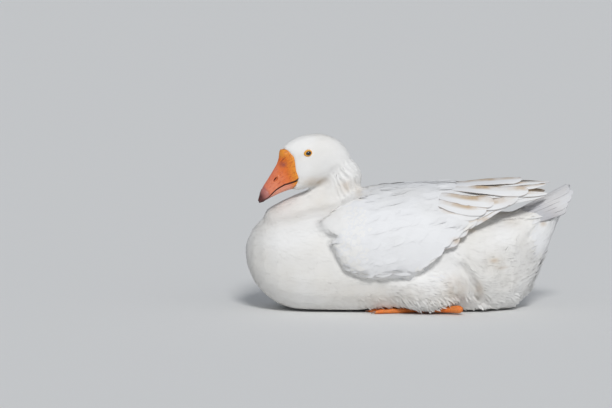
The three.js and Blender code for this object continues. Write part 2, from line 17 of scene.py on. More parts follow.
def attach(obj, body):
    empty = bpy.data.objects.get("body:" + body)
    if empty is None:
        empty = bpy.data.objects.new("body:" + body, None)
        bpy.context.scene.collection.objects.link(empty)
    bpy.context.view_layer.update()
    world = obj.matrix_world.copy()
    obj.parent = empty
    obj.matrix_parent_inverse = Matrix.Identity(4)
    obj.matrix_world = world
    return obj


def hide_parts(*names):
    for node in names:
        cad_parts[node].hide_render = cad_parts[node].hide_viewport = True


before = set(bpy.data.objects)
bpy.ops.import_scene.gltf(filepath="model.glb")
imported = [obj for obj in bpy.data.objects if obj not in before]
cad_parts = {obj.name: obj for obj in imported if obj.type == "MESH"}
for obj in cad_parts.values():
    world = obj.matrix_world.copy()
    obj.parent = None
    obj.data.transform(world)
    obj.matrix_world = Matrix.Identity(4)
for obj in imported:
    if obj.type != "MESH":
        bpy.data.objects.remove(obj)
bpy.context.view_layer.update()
MM = 0.001
SIDES = {"left": 1, "right": -1}
rng = np.random.default_rng(20)

# ---------------------------------------------------------------- driving dimensions

HEAD_FRAME = (
    Matrix.Translation(Vector((20, -171, 208)) * MM)
    @ Matrix.Rotation(radians(16), 4, "Z")
    @ Matrix.Rotation(radians(29), 4, "X")
)  # the corner of the mouth; its local -Y points along the closed bill
EYE_AT = (26, -37.5, 29.8)  # sideways, forward and up in the head's frame, in millimetres

FLESH = ["head", "neck_upper", "neck_lower", "trunk", "rump", "thigh_left", "thigh_right"]
WINGS = ["wing_left_coverts", "wing_right_coverts"]
SKIN_VOXEL = 2.5 * MM
NODE_OVERLAP = 0.5 * MM  # closes the CAD's cuts before the skin is made

# ---------------------------------------------------------------- numbers on a surface


def unit(v):
    return v / np.maximum(np.linalg.norm(v, axis=-1, keepdims=True), 1e-12)


def ramp(low, high, x):
    """0 up to low and 1 from high, with a smooth step between; high may be the lower one."""
    t = np.clip((x - low) / (high - low), 0, 1)
    return t * t * (3 - 2 * t)


def hump(value, middle, width):
    return np.exp(-(((value - middle) / width) ** 2))


def together(*parts):
    """Coordinates of any shapes that fit each other, as one array of points."""
    return np.stack(np.broadcast_arrays(*parts), -1)


def once_round(count):
    return np.linspace(0, 2 * pi, count, endpoint=False)


def noise_at(points, size, seed=0):
    """Smooth noise from -1 to 1 with lumps of about the given size, in millimetres."""
    scaled = points / (size * MM) + 37.0 * seed
    return np.array([noise.noise(p) for p in scaled.tolist()])


def profile(keys):
    """A smooth function through (position, value) keys that never overshoots them."""
    at, value = np.array(sorted(keys), float).T
    slope = np.diff(value) / np.diff(at)
    tangent = np.zeros(len(at))
    tangent[0], tangent[-1] = slope[0], slope[-1]
    same_way = slope[:-1] * slope[1:]
    tangent[1:-1] = np.where(same_way > 0, 2 * same_way / (slope[:-1] + slope[1:] + 1e-30), 0)

    def smooth(p):
        p = np.clip(p, at[0], at[-1])
        i = np.clip(np.searchsorted(at, p) - 1, 0, len(at) - 2)
        h = at[i + 1] - at[i]
        t = (p - at[i]) / h
        start = (1 + 2 * t) * (1 - t) ** 2 * value[i] + t * (1 - t) ** 2 * h * tangent[i]
        return start + t * t * (3 - 2 * t) * value[i + 1] + t * t * (t - 1) * h * tangent[i + 1]

    return smooth


def profiles(rows):
    """A profile for each column of a table but the first, which holds their positions."""
    return [profile([(row[0], row[k]) for row in rows]) for k in range(1, len(rows[0]))]


def away_from(line, py, pz):
    """How far places, seen from the side, are from a line of (y, z) points."""
    nearest = np.full(np.shape(py), np.inf)
    for (ay, az), (by, bz) in zip(line, line[1:]):
        length = (by - ay) ** 2 + (bz - az) ** 2
        t = np.clip(((py - ay) * (by - ay) + (pz - az) * (bz - az)) / length, 0, 1)
        nearest = np.minimum(nearest, np.hypot(py - ay - t * (by - ay), pz - az - t * (bz - az)))
    return nearest


def in_head_frame(points):
    """World points, in metres, as (sideways, forward, up) from the corner of the mouth, in millimetres."""
    matrix = np.array(HEAD_FRAME.inverted())
    local = points @ matrix[:3, :3].T + matrix[:3, 3]
    return local[:, 0] / MM, -local[:, 1] / MM, local[:, 2] / MM


def from_head_frame(sideways, forward, up):
    matrix = np.array(HEAD_FRAME)
    return together(sideways, -np.asarray(forward, float), up) * MM @ matrix[:3, :3].T + matrix[:3, 3]


# ---------------------------------------------------------------- closed sheets and tubes


def place(name, mesh, material, slot=None, replaces=(), local_frame=None):
    """Puts a mesh in the scene; with a slot it is a piece of the goose and rides on its body."""
    obj = bpy.data.objects.new(name, mesh)
    bpy.context.scene.collection.objects.link(obj)
    mesh.materials.append(material)
    if local_frame:
        obj.matrix_world = local_frame
    if slot:
        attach(obj, "root")
    if replaces:
        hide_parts(*replaces)
    return obj


def join(pieces):
    """Several (vertices, faces) as one, and the number of the piece that each face is from."""
    verts, faces, owner = [], [], []
    for number, (points, corners) in enumerate(pieces):
        faces += [[len(verts) + c for c in face] for face in corners]
        verts += points
        owner += [number] * len(corners)
    return verts, faces, owner


def smooth_mesh(name, verts, faces):
    mesh = bpy.data.meshes.new(name)
    mesh.from_pydata(verts, [], faces, shade_flat=False)
    return mesh


def set_uv(mesh, name, uv):
    """Adds a UV map from an array of each vertex's (u, v)."""
    corners = np.empty(len(mesh.loops), np.int32)
    mesh.loops.foreach_get("vertex_index", corners)
    layer = mesh.uv_layers.new(name=name)
    layer.data.foreach_set("uv", uv.reshape(-1, 2)[corners].astype(np.float32).ravel())


def turn_outwards(mesh):
    bm = bmesh.new()
    bm.from_mesh(mesh)
    bmesh.ops.recalc_face_normals(bm, faces=bm.faces)
    bm.to_mesh(mesh)
    bm.free()


def loft(rings, hoop=False):
    """Vertices and faces between rings of points, an (n, m, 3) array, closed round each ring.

    The two ends are fanned shut, or joined to each other for a hoop.
    """
    n, m, _ = rings.shape
    grid = np.arange(n * m).reshape(n, m)
    if hoop:
        grid = np.vstack([grid, grid[:1]])
    after = np.roll(grid, -1, axis=1)
    verts = rings.reshape(-1, 3).tolist()
    faces = np.stack([grid[:-1], after[:-1], after[1:], grid[1:]], -1).reshape(-1, 4).tolist()
    if not hoop:
        verts += [rings[0].mean(0).tolist(), rings[-1].mean(0).tolist()]
        for ring, centre in ((grid[0][::-1], n * m), (grid[-1], n * m + 1)):
            faces += np.stack([ring, np.roll(ring, -1), np.full(m, centre)], -1).tolist()
    return verts, faces


def closed_piece(name, lofts, material, slot, replaces, local_frame=None, maps=(), hoop=False):
    """A piece made of several lofts; maps holds the (u, v) of each loft's points, for its Wrap map."""
    verts, faces, _ = join([loft(rings, hoop) for rings in lofts])
    mesh = smooth_mesh(name, verts, faces)
    turn_outwards(mesh)
    uv = np.zeros((len(verts), 2))
    if maps:
        uv = np.concatenate([np.vstack([wrap.reshape(-1, 2), [(0.5, 0), (0.5, 1)]]) for wrap in maps])
    set_uv(mesh, "Wrap", uv)
    return place(name, mesh, material, slot, replaces, local_frame)


def shell(top, under):
    """Rings over the top of a thin sheet and back along its underside."""
    return np.concatenate([top, under[:, ::-1]], 1)


def tube(path, radii, around, flat=1.0):
    """Rings round a path of points, in millimetres; flat squashes them upright."""
    ahead = unit(np.gradient(path, axis=0))
    side = unit(np.cross(ahead, [0.0, 0.0, 1.0]))
    up = np.cross(side, ahead)
    turn = once_round(around)[None, :, None]
    ring = side[:, None] * np.cos(turn) + up[:, None] * np.sin(turn) * flat
    return (path[:, None] + radii[:, None, None] * ring) * MM


# ---------------------------------------------------------------- materials


class Nodes:
    """A material's node tree, built by short calls. colour is what paint() lays further colours on."""

    def __init__(self, name):
        self.material = bpy.data.materials.new(name)
        self.material.use_nodes = True
        self.tree = self.material.node_tree
        self.bsdf = self.tree.nodes["Principled BSDF"]
        self.colour = None

    def node(self, kind, inputs=(), **settings):
        made = self.tree.nodes.new(kind)
        for key, value in settings.items():
            setattr(made, key, value)
        for key, value in dict(inputs).items():
            self.put(made.inputs[key], value)
        return made

    def put(self, socket, value):
        if isinstance(value, bpy.types.NodeSocket):
            self.tree.links.new(value, socket)
        elif isinstance(value, tuple) and len(value) == 3 and socket.type == "RGBA":
            socket.default_value = (*value, 1)
        else:
            socket.default_value = value

    def finish(self, **inputs):
        """Sets the shader's inputs, with underscores for the spaces in their names."""
        if self.colour is not None:
            inputs["Base_Color"] = self.colour
        for key, value in inputs.items():
            self.put(self.bsdf.inputs[key.replace("_", " ")], value)
        return self.material

    def coords(self):
        return self.node("ShaderNodeTexCoord").outputs["Object"]

    def axis(self, letter, vector=None):
        split = self.node("ShaderNodeSeparateXYZ", {"Vector": vector or self.coords()})
        return split.outputs[letter]

    def wrap(self, letter):
        """The Wrap map: X across a vane or round a tube, and Y along it."""
        return self.axis(letter, self.node("ShaderNodeUVMap", uv_map="Wrap").outputs["UV"])

    def off_middle(self):
        """0 along the middle of the Wrap map and 0.5 at its edges."""
        return self.math("ABSOLUTE", self.math("SUBTRACT", self.wrap("X"), 0.5))

    def noise(self, scale, detail=3, vector=None, roughness=0.5):
        vector = vector or self.coords()
        inputs = {"Scale": scale, "Detail": detail, "Roughness": roughness, "Vector": vector}
        return self.node("ShaderNodeTexNoise", inputs).outputs["Fac"]

    def range(self, value, low, high, to_low=0.0, to_high=1.0, curve="LINEAR"):
        ends = {"From Min": low, "From Max": high, "To Min": to_low, "To Max": to_high}
        made = self.node("ShaderNodeMapRange", {"Value": value, **ends}, interpolation_type=curve)
        return made.outputs["Result"]

    def mix(self, factor, a, b):
        made = self.node("ShaderNodeMix", data_type="RGBA")
        colours = [s for s in made.inputs if s.type == "RGBA"]
        for socket, value in ((made.inputs["Factor"], factor), (colours[0], a), (colours[1], b)):
            self.put(socket, value)
        return next(s for s in made.outputs if s.type == "RGBA")

    def paint(self, factor, colour):
        self.colour = self.mix(factor, self.colour, colour)

    def math(self, operation, a, b=0.0):
        return self.node("ShaderNodeMath", {0: a, 1: b}, operation=operation).outputs[0]

    def plus(self, a, b):
        return self.math("ADD", a, b)

    def times(self, *factors):
        made = factors[0]
        for factor in factors[1:]:
            made = self.math("MULTIPLY", made, factor)
        return made

    def bell(self, value, middle, width):
        """1 where the value is at the middle, falling to 0 a width away."""
        away = self.math("ABSOLUTE", self.math("SUBTRACT", value, middle))
        return self.range(away, width, 0.0, curve="SMOOTHSTEP")

    def bump(self, height, strength, distance):
        made = self.node("ShaderNodeBump", {"Height": height, "Strength": strength, "Distance": distance})
        self.put(self.bsdf.inputs["Normal"], made.outputs["Normal"])


# Tan on the plumage, the same on both sides: y, z, half length, half height (millimetres) and strength.
# Those at (88, 120), (110, 134) and (134, 151), in the slit under the wing's rear edge, are partly tan
# staining and partly painted shade. Those at (162, 156), on the top of the rump below the tertials,
# (228, 138), in the hollow under the tail, (-136, 206), on the lower cheek, and (-86, 198) and
# (-66, 190), in the neck's furrows, are painted shade.
STAINS_AND_SHADE = [
    (84, 40, 34, 34, 0.34), (122, 38, 15, 24, 0.42), (147, 86, 11, 6, 0.5), (160, 74, 15, 5, 0.42),
    (150, 84, 26, 20, 0.14), (162, 156, 26, 7, 0.42), (176, 142, 22, 12, 0.16), (88, 120, 18, 9, 0.6),
    (110, 134, 14, 7, 0.6), (134, 151, 18, 6, 0.6), (228, 138, 9, 8, 0.45), (-120, 170, 34, 26, 0.12),
    (-20, 30, 150, 26, 0.12), (156, 179, 34, 9, 0.34), (-136, 206, 32, 13, 0.6), (-158, 246, 20, 12, 0.14),
    (-86, 198, 22, 16, 0.4), (-66, 190, 10, 14, 0.3),
]
TAN = (0.56, 0.41, 0.26)
# White and its creamier shade, for each kind of feather.
DOWN = ((0.88, 0.87, 0.85), (0.83, 0.81, 0.77))
VANES = ((0.84, 0.84, 0.845), (0.79, 0.785, 0.775))
# The tail's white feathers, painted grey as painted shade.
TAIL_SHADED_WHITES = ((0.74, 0.74, 0.75), (0.58, 0.58, 0.61))


def paint_plumage(m, white, shade):
    """White, creamier in broad patches, with tan stains and painted tan shade; skin and coat share it."""
    m.colour = m.mix(m.range(m.noise(11, 2), 0.42, 0.66), white, shade)
    along, up = m.times(m.axis("Y"), 1 / MM), m.times(m.axis("Z"), 1 / MM)
    total = 0.0
    for y0, z0, length, height, strength in STAINS_AND_SHADE:
        total = m.plus(total, m.times(m.bell(along, y0, length), m.bell(up, z0, height), strength))
    m.paint(m.times(total, m.range(m.noise(75, 4), 0.34, 0.62, 0.35, 1.0)), TAN)


def feather_material(name, whites, roughness, barbs=0.0):
    """Soft feathers; barbs is the strength of their fine slanting lines and shaft."""
    m = Nodes(name)
    paint_plumage(m, *whites)
    if barbs:
        across = m.off_middle()
        slant = m.plus(m.times(m.wrap("Y"), 130.0), m.times(across, -55.0))
        shaft = m.range(across, 0.0, 0.03, 1.0, 0.0)
        m.bump(m.plus(m.times(m.math("SINE", slant), 0.3), shaft), barbs, 0.0002)
    return m.finish(Roughness=roughness, Specular_IOR_Level=0.22, Sheen_Weight=0.22, Sheen_Roughness=0.5)


# ---------------------------------------------------------------- the wing's outer shape

# In millimetres: y, bottom, height of the widest line, top, half width.
WING_ENVELOPE = [
    (-135, 20, 107, 176, 98), (-90, 4, 106, 192, 115), (-40, 0, 104, 201, 121), (30, 2, 104, 204, 120),
    (90, 20, 112, 206, 109), (140, 45, 128, 210, 90), (190, 60, 148, 212, 61), (240, 80, 162, 206, 34),
]
WING_ROUNDNESS = 2.2
low_line, widest_line, top_line, half_width = profiles(WING_ENVELOPE)
WING_TIP = (268, 62)  # where the feathers of a folded wing meet: y, and degrees above the widest line


def on_wing_envelope(side, y, angle, depth):
    """Places on the folded wing at an angle up from its widest line, sunk in by depth (millimetres)."""
    middle = widest_line(y)
    reach = np.where(angle >= 0, top_line(y) - middle, middle - low_line(y)) - depth
    power = 2 / WING_ROUNDNESS
    out = (half_width(y) - depth) * np.abs(np.cos(angle)) ** power
    return together(side * out, y, middle + reach * np.sign(angle) * np.abs(np.sin(angle)) ** power) * MM


def height_share(y, z):
    """Heights as a share of the envelope's reach up or down from its widest line, before rounding."""
    rise = z - widest_line(y)
    reach = np.where(rise >= 0, top_line(y) - widest_line(y), widest_line(y) - low_line(y))
    return np.sign(rise) * np.abs(rise / reach) ** (WING_ROUNDNESS / 2)


def wing_angle(x, y, z):
    """The angle on the wing's envelope of places near it (millimetres)."""
    return np.arctan2(height_share(y, z), np.abs(x / half_width(y)) ** (WING_ROUNDNESS / 2))


def wing_arm(y):
    """Millimetres of arc per radian of the envelope's angle."""
    return np.maximum(20, (half_width(y) + top_line(y) - widest_line(y)) / 2)


# Under the flight feathers' roots each wing has a core, so that the coverts run on to its rear edge.
CORE_FROM, CORE_TO = 6, 168
CORE_LOW = profile([(6, 58), (40, 76), (60, 93), (76, 113), (88, 123), (112, 139), (136, 158), (168, 176)])
CORE_HIGH = radians(87)
CORE_THICKNESS = profile([(0, 15), (100, 9), (168, 3)])
CORE_SINK = 5.0  # how much deeper it lies where flight feathers show
# Where the coverts end and flight feathers show: (degrees above the widest line, y).
COVERTS_END = profile([(-60, 108), (5, 108), (14, 118), (20, 108), (25, 86), (30, 70), (36, 56), (45, 48),
                       (56, 48), (63, 62), (67, 80), (72, 93), (90, 96)])


def past_coverts(y, angle):
    return y - COVERTS_END(np.degrees(angle))


def wing_core(side):
    y = np.linspace(CORE_FROM, CORE_TO, 30)[:, None]
    across = np.linspace(0, 1, 34)[None]
    low_angle = np.arcsin(np.clip(height_share(y, CORE_LOW(y)), -1, 1))
    angle = low_angle + (CORE_HIGH - low_angle) * across
    outer = CORE_SINK * ramp(-12, 10, past_coverts(y + 0 * angle, angle))
    inner = outer + CORE_THICKNESS(y) * np.sin(np.clip(across * 1.15, 0, 1) * pi) ** 0.35 + 0.4
    return shell(on_wing_envelope(side, y, angle, outer), on_wing_envelope(side, y, angle, inner))


# Between the wings the back is level with them: (y, how far it lies under the envelope's top).
BACK_FROM, BACK_TO = -96, 158
BACK_SINK = profile([(-96, 16), (-70, 6), (-30, 3.2), (90, 3.2), (120, 5), (140, 9), (158, 16)])
BACK_THICKNESS = profile([(-96, 24), (110, 24), (158, 7)])
BACK_EDGE = radians(60)


def back_rings():
    y = np.linspace(BACK_FROM, BACK_TO, 44)[:, None]
    turn = np.linspace(BACK_EDGE, pi - BACK_EDGE, 30)[None]
    top = on_wing_envelope(np.where(turn <= pi / 2, 1, -1), y, np.minimum(turn, pi - turn), BACK_SINK(y))
    return shell(top, top - together(0 * y, 0 * y, BACK_THICKNESS(y)) * MM)


# The tail: where it starts, how long it is and how far it tips up.
TAIL_ROOT = np.array([0, 188, 159])
TAIL_LENGTH = 92
TAIL_RISE = radians(28)
# The soft body inside its arch: share of the tail's length, top and bottom under its ridge, half width.
UNDER_TAIL = [
    (-0.3, 0, -40, 18), (-0.1, 4, -52, 27), (0.06, 4.5, -56, 30), (0.16, 0, -57, 25), (0.3, -3, -57, 23),
    (0.45, -3, -52, 24.5), (0.6, -3, -43, 25.5), (0.75, -3, -29, 24), (0.88, -3, -16, 16),
]


def from_tail(sideways, along, up):
    """Places given in the tail's own directions, in millimetres from its root."""
    turned_up = together(sideways, along, up) @ np.array(Matrix.Rotation(TAIL_RISE, 3, "X")).T
    return (turned_up + TAIL_ROOT) * MM


def under_tail_rings():
    share = np.linspace(UNDER_TAIL[0][0], UNDER_TAIL[-1][0], 40)[:, None]
    top, bottom, half = (column(share) for column in profiles(UNDER_TAIL))
    turn = once_round(36)[None]
    up = (top + bottom) / 2 + (top - bottom) / 2 * np.sin(turn)
    return from_tail(half * np.cos(turn), TAIL_LENGTH * share, up)


EYE_PLUG = 22  # radius of the round solid that closes the head's sockets under each eyelid


def eye_plug_rings(side):
    polar = np.linspace(0.05, pi - 0.05, 40)[:, None]
    turn = once_round(48)[None]
    sideways = side * (EYE_AT[0] - EYE_PLUG + EYE_PLUG * np.cos(polar) + 0 * turn)
    ahead = EYE_AT[1] + EYE_PLUG * np.sin(polar) * np.cos(turn)
    return from_head_frame(sideways, ahead, EYE_AT[2] + EYE_PLUG * np.sin(polar) * np.sin(turn))


# ---------------------------------------------------------------- the skin


def grown_node(name):
    """A CAD node's vertices and faces, its corners joined, grown a little to meet its neighbours."""
    bm = bmesh.new()
    bm.from_mesh(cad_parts[name].data)
    bmesh.ops.remove_doubles(bm, verts=bm.verts, dist=1e-6)
    bmesh.ops.recalc_face_normals(bm, faces=bm.faces)
    bm.normal_update()
    bm.verts.index_update()
    verts = [(v.co + v.normal * NODE_OVERLAP)[:] for v in bm.verts]
    faces = [[v.index for v in face.verts] for face in bm.faces]
    bm.free()
    return verts, faces


def build_skin():
    added = [wing_core(1), wing_core(-1), back_rings(), under_tail_rings(), *map(eye_plug_rings, (1, -1))]
    verts, faces, _ = join([grown_node(name) for name in FLESH + WINGS] + [loft(rings) for rings in added])
    mesh = smooth_mesh("skin_source", verts, faces)
    turn_outwards(mesh)
    source = bpy.data.objects.new("skin_source", mesh)
    bpy.context.scene.collection.objects.link(source)
    remesh = source.modifiers.new("remesh", "REMESH")
    remesh.mode = "VOXEL"
    remesh.voxel_size = SKIN_VOXEL
    evaluated = source.evaluated_get(bpy.context.evaluated_depsgraph_get())
    skin = bpy.data.meshes.new_from_object(evaluated)
    bpy.data.objects.remove(source)
    return skin


RAY_START = 0.8  # millimetres over the surface from which a ray looks for what covers it


class Surface:
    """The skin's mesh as arrays, with a search tree and per-vertex fields."""

    def __init__(self, mesh):
        self.verts = np.array([v.co[:] for v in mesh.vertices])
        self.quads = np.array([tuple(p.vertices) for p in mesh.polygons])
        edges = np.array([tuple(e.vertices) for e in mesh.edges])
        self.both_ways = np.concatenate([edges, edges[:, ::-1]])
        self.degree = np.maximum(np.bincount(self.both_ways[:, 0], minlength=len(self.verts)), 1)
        self.refresh()

    def refresh(self):
        a, b, c, d = (self.verts[self.quads[:, k]] for k in range(4))
        face_normals = np.cross(c - a, d - b)
        self.areas = np.linalg.norm(face_normals, axis=1) / 2
        self.normals = vertex_normals(self.quads, face_normals, len(self.verts))
        self.tree = BVHTree.FromPolygons(self.verts.tolist(), self.quads.tolist())

    def push(self, millimetres):
        """Moves each vertex out along its normal."""
        self.verts = self.verts + self.normals * millimetres[:, None] * MM

    def spread(self, values, rounds, weight=1.0):
        """Averages per-vertex values with their neighbours'; weight, from 0 to 1, may differ by vertex."""
        values = np.array(values, float)
        flat = values.reshape(len(values), -1)
        weight = np.broadcast_to(np.asarray(weight, float), (len(values),))[:, None]
        here, there = self.both_ways.T
        for _ in range(rounds):
            sums = [np.bincount(here, column[there], len(flat)) for column in flat.T]
            flat = flat + weight * (np.stack(sums, axis=1) / self.degree[:, None] - flat)
        return flat.reshape(values.shape)

    def nearest(self, points):
        """The nearest places on the surface, and the faces they are on."""
        found = [self.tree.find_nearest(p) for p in points.tolist()]
        return np.array([f[0] for f in found]), np.array([f[2] for f in found])

    def sample(self, field, points, faces):
        """A per-vertex field at places on faces, blended between each face's corners by closeness."""
        corners = self.quads[faces]
        away = np.linalg.norm(self.verts[corners] - points[:, None], axis=2)
        share = 1 / (away + 1e-5) ** 2
        share /= share.sum(1, keepdims=True)
        return (field[corners] * share.reshape(share.shape + (1,) * (field.ndim - 1))).sum(1)

    def covered(self, distance):
        """1 at vertices with more of the surface close above them, as under a wing."""
        start = self.verts + self.normals * RAY_START * MM
        rays = zip(start.tolist(), self.normals.tolist())
        return np.array([self.tree.ray_cast(p, n, distance)[0] is not None for p, n in rays], float)


def vertex_normals(quads, face_normals, count):
    total = np.zeros((count, 3))
    np.add.at(total, quads, face_normals[:, None])
    return unit(total)


def node_labels(points):
    """The name of the part that each point is nearest to."""
    nodes = [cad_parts[name].data for name in FLESH + WINGS]
    pieces = [([v.co[:] for v in data.vertices], [p.vertices for p in data.polygons]) for data in nodes]
    pieces += [loft(rings) for rings in (wing_core(1), wing_core(-1), back_rings())]
    verts, faces, owner = join(pieces)
    tree = BVHTree.FromPolygons(verts, faces)
    names = np.array([*FLESH, *WINGS, *WINGS, "back"])
    return names[[owner[tree.find_nearest(p)[2]] for p in points.tolist()]]


# How many times a field is averaged over the skin's mesh.
LABEL_ROUNDS, SMOOTHING_ROUNDS, DEPTH_ROUNDS, FLOW_ROUNDS, SHELTER_ROUNDS = 6, 26, 5, 8, 26

skin_mesh = build_skin()
surface = Surface(skin_mesh)
labels = node_labels(surface.verts)


def share_of(*names):
    """A per-vertex field: 1 on the named nodes' skin, softened at its edges."""
    return surface.spread(np.isin(labels, names), LABEL_ROUNDS)


on_wing = share_of(*WINGS)
on_head = share_of("head")
on_neck = share_of("neck_upper", "neck_lower")
on_thigh = share_of("thigh_left", "thigh_right")
on_back = share_of("back")


def at_shoulder():
    """A per-vertex field: 1 where the wing's front merges with the breast, above the fold of its bend."""
    _, py, pz = surface.verts.T / MM
    return ramp(-94, -110, py) * ramp(118, 132, pz)


# The facets are smoothed away, more gently where the wings, the face and the tail have edges to keep.
sharp = np.maximum(0.8 * on_wing * (1 - at_shoulder()), 0.75 * on_head)
sharp = np.maximum(sharp, 0.85 * ramp(205, 232, surface.verts[:, 1] / MM))
surface.verts = surface.spread(surface.verts, SMOOTHING_ROUNDS, 0.5 * (1 - sharp))
surface.refresh()

# ---------------------------------------------------------------- the skin's relief

FURROWS_FROM = (-114, 236)  # (y, z) where the line that the neck's furrows follow starts
FURROWS_LEAN = 0.52  # how far back that line runs for each step down
NECK_FURROWS = 21
FOLD_BEHIND_THIGH = ((100, 76), (112, 58), (122, 36), (124, 18))
BAND_OVER_THIGH = ((78, 100), (98, 84), (116, 58))
HOLLOW_UNDER_TAIL = ((211, 122), (226, 138), (242, 152))
# How far each feature stands out, or how deep it is, in millimetres.
FURROW_DEPTH, NAPE_HEIGHT, BAND_HEIGHT, FOLD_DEPTH = 5.0, 6.0, 2.4, 6.0
UNDER_WING_DEPTH, HOLLOW_DEPTH, RUMP_HEIGHT = 5.0, 3.0, 2.5
CHEEK_HEIGHT, BROW_HEIGHT, CHIN_HEIGHT = 1.3, 0.9, 3.0


def relief():
    """How far the skin stands out from the smooth shape, in millimetres."""
    p = surface.verts
    px, py, pz = p.T / MM
    _, ahead, up = in_head_frame(p)
    body = np.clip(1 - on_wing - on_head - on_neck - on_back, 0, 1)
    behind = body * ramp(60, 120, py)
    out = 0.6 * body * noise_at(p, 30) + behind * (1.0 * noise_at(p, 24, 1) + 0.35 * noise_at(p, 10, 2))
    wrist = on_wing * ramp(0, -60, py) * ramp(150, 110, pz)
    lumps = 0.5 * noise_at(p, 24, 3) + 0.35 * noise_at(p, 12, 4)
    out += on_wing * lumps + wrist * 1.5 * noise_at(p, 13, 5)
    # Rows of feathers furrow the neck lengthways.
    centre = FURROWS_FROM[0] + FURROWS_LEAN * (FURROWS_FROM[1] - pz)
    bearing = np.arctan2(px, py - centre) + 0.16 * noise_at(p, 17, 6)
    furrowed = on_neck * ramp(150, 180, pz) * ramp(-0.15, 0.5, np.cos(bearing) + 0.5)
    ridge = np.abs(np.cos(bearing * NECK_FURROWS / 2)) ** 0.6
    out += furrowed * (FURROW_DEPTH * ridge - 3.4) * (0.8 + 0.5 * noise_at(p, 14, 7))
    nape = ramp(0.0, 0.7, surface.normals[:, 1]) * ramp(-112, -84, py) * (on_head + on_neck)
    out += NAPE_HEIGHT * nape * hump(pz, 220, 20)
    out += (1 - on_wing) * BAND_HEIGHT * hump(away_from(BAND_OVER_THIGH, py, pz), 0, 9)
    out -= (1 - on_wing) * FOLD_DEPTH * hump(away_from(FOLD_BEHIND_THIGH, py, pz), 0, 5)
    under_wing = (pz < 150) * ramp(-140, -110, py) * (1 - at_shoulder())
    out -= UNDER_WING_DEPTH * hump(on_wing, 0.2, 0.22) * under_wing
    out -= HOLLOW_DEPTH * (py > 200) * hump(away_from(HOLLOW_UNDER_TAIL, py, pz), 0, 5)
    out += RUMP_HEIGHT * ramp(222, 240, py) * ramp(160, 150, pz)
    out += on_head * CHEEK_HEIGHT * hump(ahead, -22, 12) * hump(up, 2, 9)
    out += on_head * BROW_HEIGHT * hump(up + 0.3 * (ahead + 38), 37.5, 2.6) * hump(ahead, -40, 11)
    chin = on_head * ramp(-0.1, -0.7, surface.normals[:, 2])
    out += CHIN_HEIGHT * chin * hump(py, -160, 16)
    out += on_head * 0.35 * noise_at(p, 11, 9) * ramp(-8, -30, ahead)
    return out * ramp(0, 14, pz)


surface.push(relief())
surface.refresh()
x, y, z = (surface.verts / MM).T
face_ahead = in_head_frame(surface.verts)[1]

# The coat's depth, in millimetres. At the rear end it is halved.
BODY_DEPTH, NECK_DEPTH, BACK_DEPTH, FACE_DEPTH = 4.4, 2.6, 1.0, 1.2
LESS_ON_WING, MORE_BEHIND_FACE = 2.4, 1.6
SKIN_OVER_FLOOR = 0.6 * MM

depth = BODY_DEPTH - LESS_ON_WING * on_wing
depth = depth * (1 - on_neck) + NECK_DEPTH * on_neck
depth = depth * (1 - on_back) + BACK_DEPTH * on_back
depth = depth * (1 - 0.5 * ramp(215, 240, y))
depth = depth * (1 - on_head) + on_head * (FACE_DEPTH + MORE_BEHIND_FACE * ramp(-10, -95, face_ahead))
surface.push(-surface.spread(depth, DEPTH_ROUNDS))
surface.verts[:, 2] = np.maximum(surface.verts[:, 2], SKIN_OVER_FLOOR)
surface.refresh()
skin_mesh.vertices.foreach_set("co", surface.verts.astype(np.float32).ravel())
skin_mesh.polygons.foreach_set("use_smooth", np.ones(len(surface.quads), bool))
skin_mesh.update()
skin = place("skin", skin_mesh, feather_material("skin", DOWN, 0.85), "plumage", (*FLESH, *WINGS))

# ---------------------------------------------------------------- how the coat lies

BILL_BASE = from_head_frame(0, 14, 14)
NECK_SOURCE = np.array([12, -118, 236]) * MM  # the neck's feathers run away from here
THIGH_LIE = unit(np.array([0.0, 1.0, -0.62]))
# How the body's feathers lie, seen from the side: y, z and degrees up from straight back.
LIE = [
    (-245, 90, -86), (-230, 50, -70), (-205, 20, -35), (-205, 130, -75), (-180, 80, -62), (-150, 100, -58),
    (-150, 40, -32), (-100, 20, -10), (-120, 80, -40), (-60, 30, -10), (0, 25, -8), (0, 60, -14),
    (50, 45, -18), (78, 98, -48), (98, 78, -56), (114, 50, -50), (130, 20, -12), (145, 45, -6), (180, 25, 0),
    (215, 45, 14), (150, 85, -8), (195, 90, 14), (228, 90, 42), (236, 125, 54), (120, 142, -4),
    (150, 132, 2), (180, 150, 16), (180, 112, 8), (208, 155, 28), (240, 165, 36), (0, 190, 0), (100, 176, 0),
]
LIE_REACH = 12  # millimetres within which one of these leads alone


def lie_of_the_body():
    ay, az, degrees = np.array(LIE, float).T
    share = 1 / ((y[:, None] - ay) ** 2 + (z[:, None] - az) ** 2 + LIE_REACH**2) ** 2
    return unit(share @ together(0, np.cos(np.radians(degrees)), np.sin(np.radians(degrees))))


def along_skin(way, normals):
    """Directions with the part that leaves the skin taken out."""
    return way - (way * normals).sum(1, keepdims=True) * normals


def lie_of_the_coat():
    """The way the feathers point, from root to tip, for each vertex of the skin."""
    p = surface.verts
    wing_tip = on_wing_envelope(np.sign(p[:, 0]), WING_TIP[0] + 0 * x, radians(WING_TIP[1]) + 0 * x, 0)
    way = lie_of_the_body()
    for share, direction in (
        (on_neck, unit(p - NECK_SOURCE)),
        (on_head, unit(p - BILL_BASE)),
        (on_wing, unit(wing_tip - p)),
        (on_thigh, THIGH_LIE),
        (on_back, np.array([0.0, 1.0, 0.0])),
    ):
        way = way * (1 - share[:, None]) + direction * share[:, None]
    for _ in range(2):
        way = surface.spread(unit(along_skin(way, surface.normals)), FLOW_ROUNDS)
    return unit(along_skin(way, surface.normals))


flow = lie_of_the_coat()
soft_normals = unit(surface.spread(surface.normals, 1))


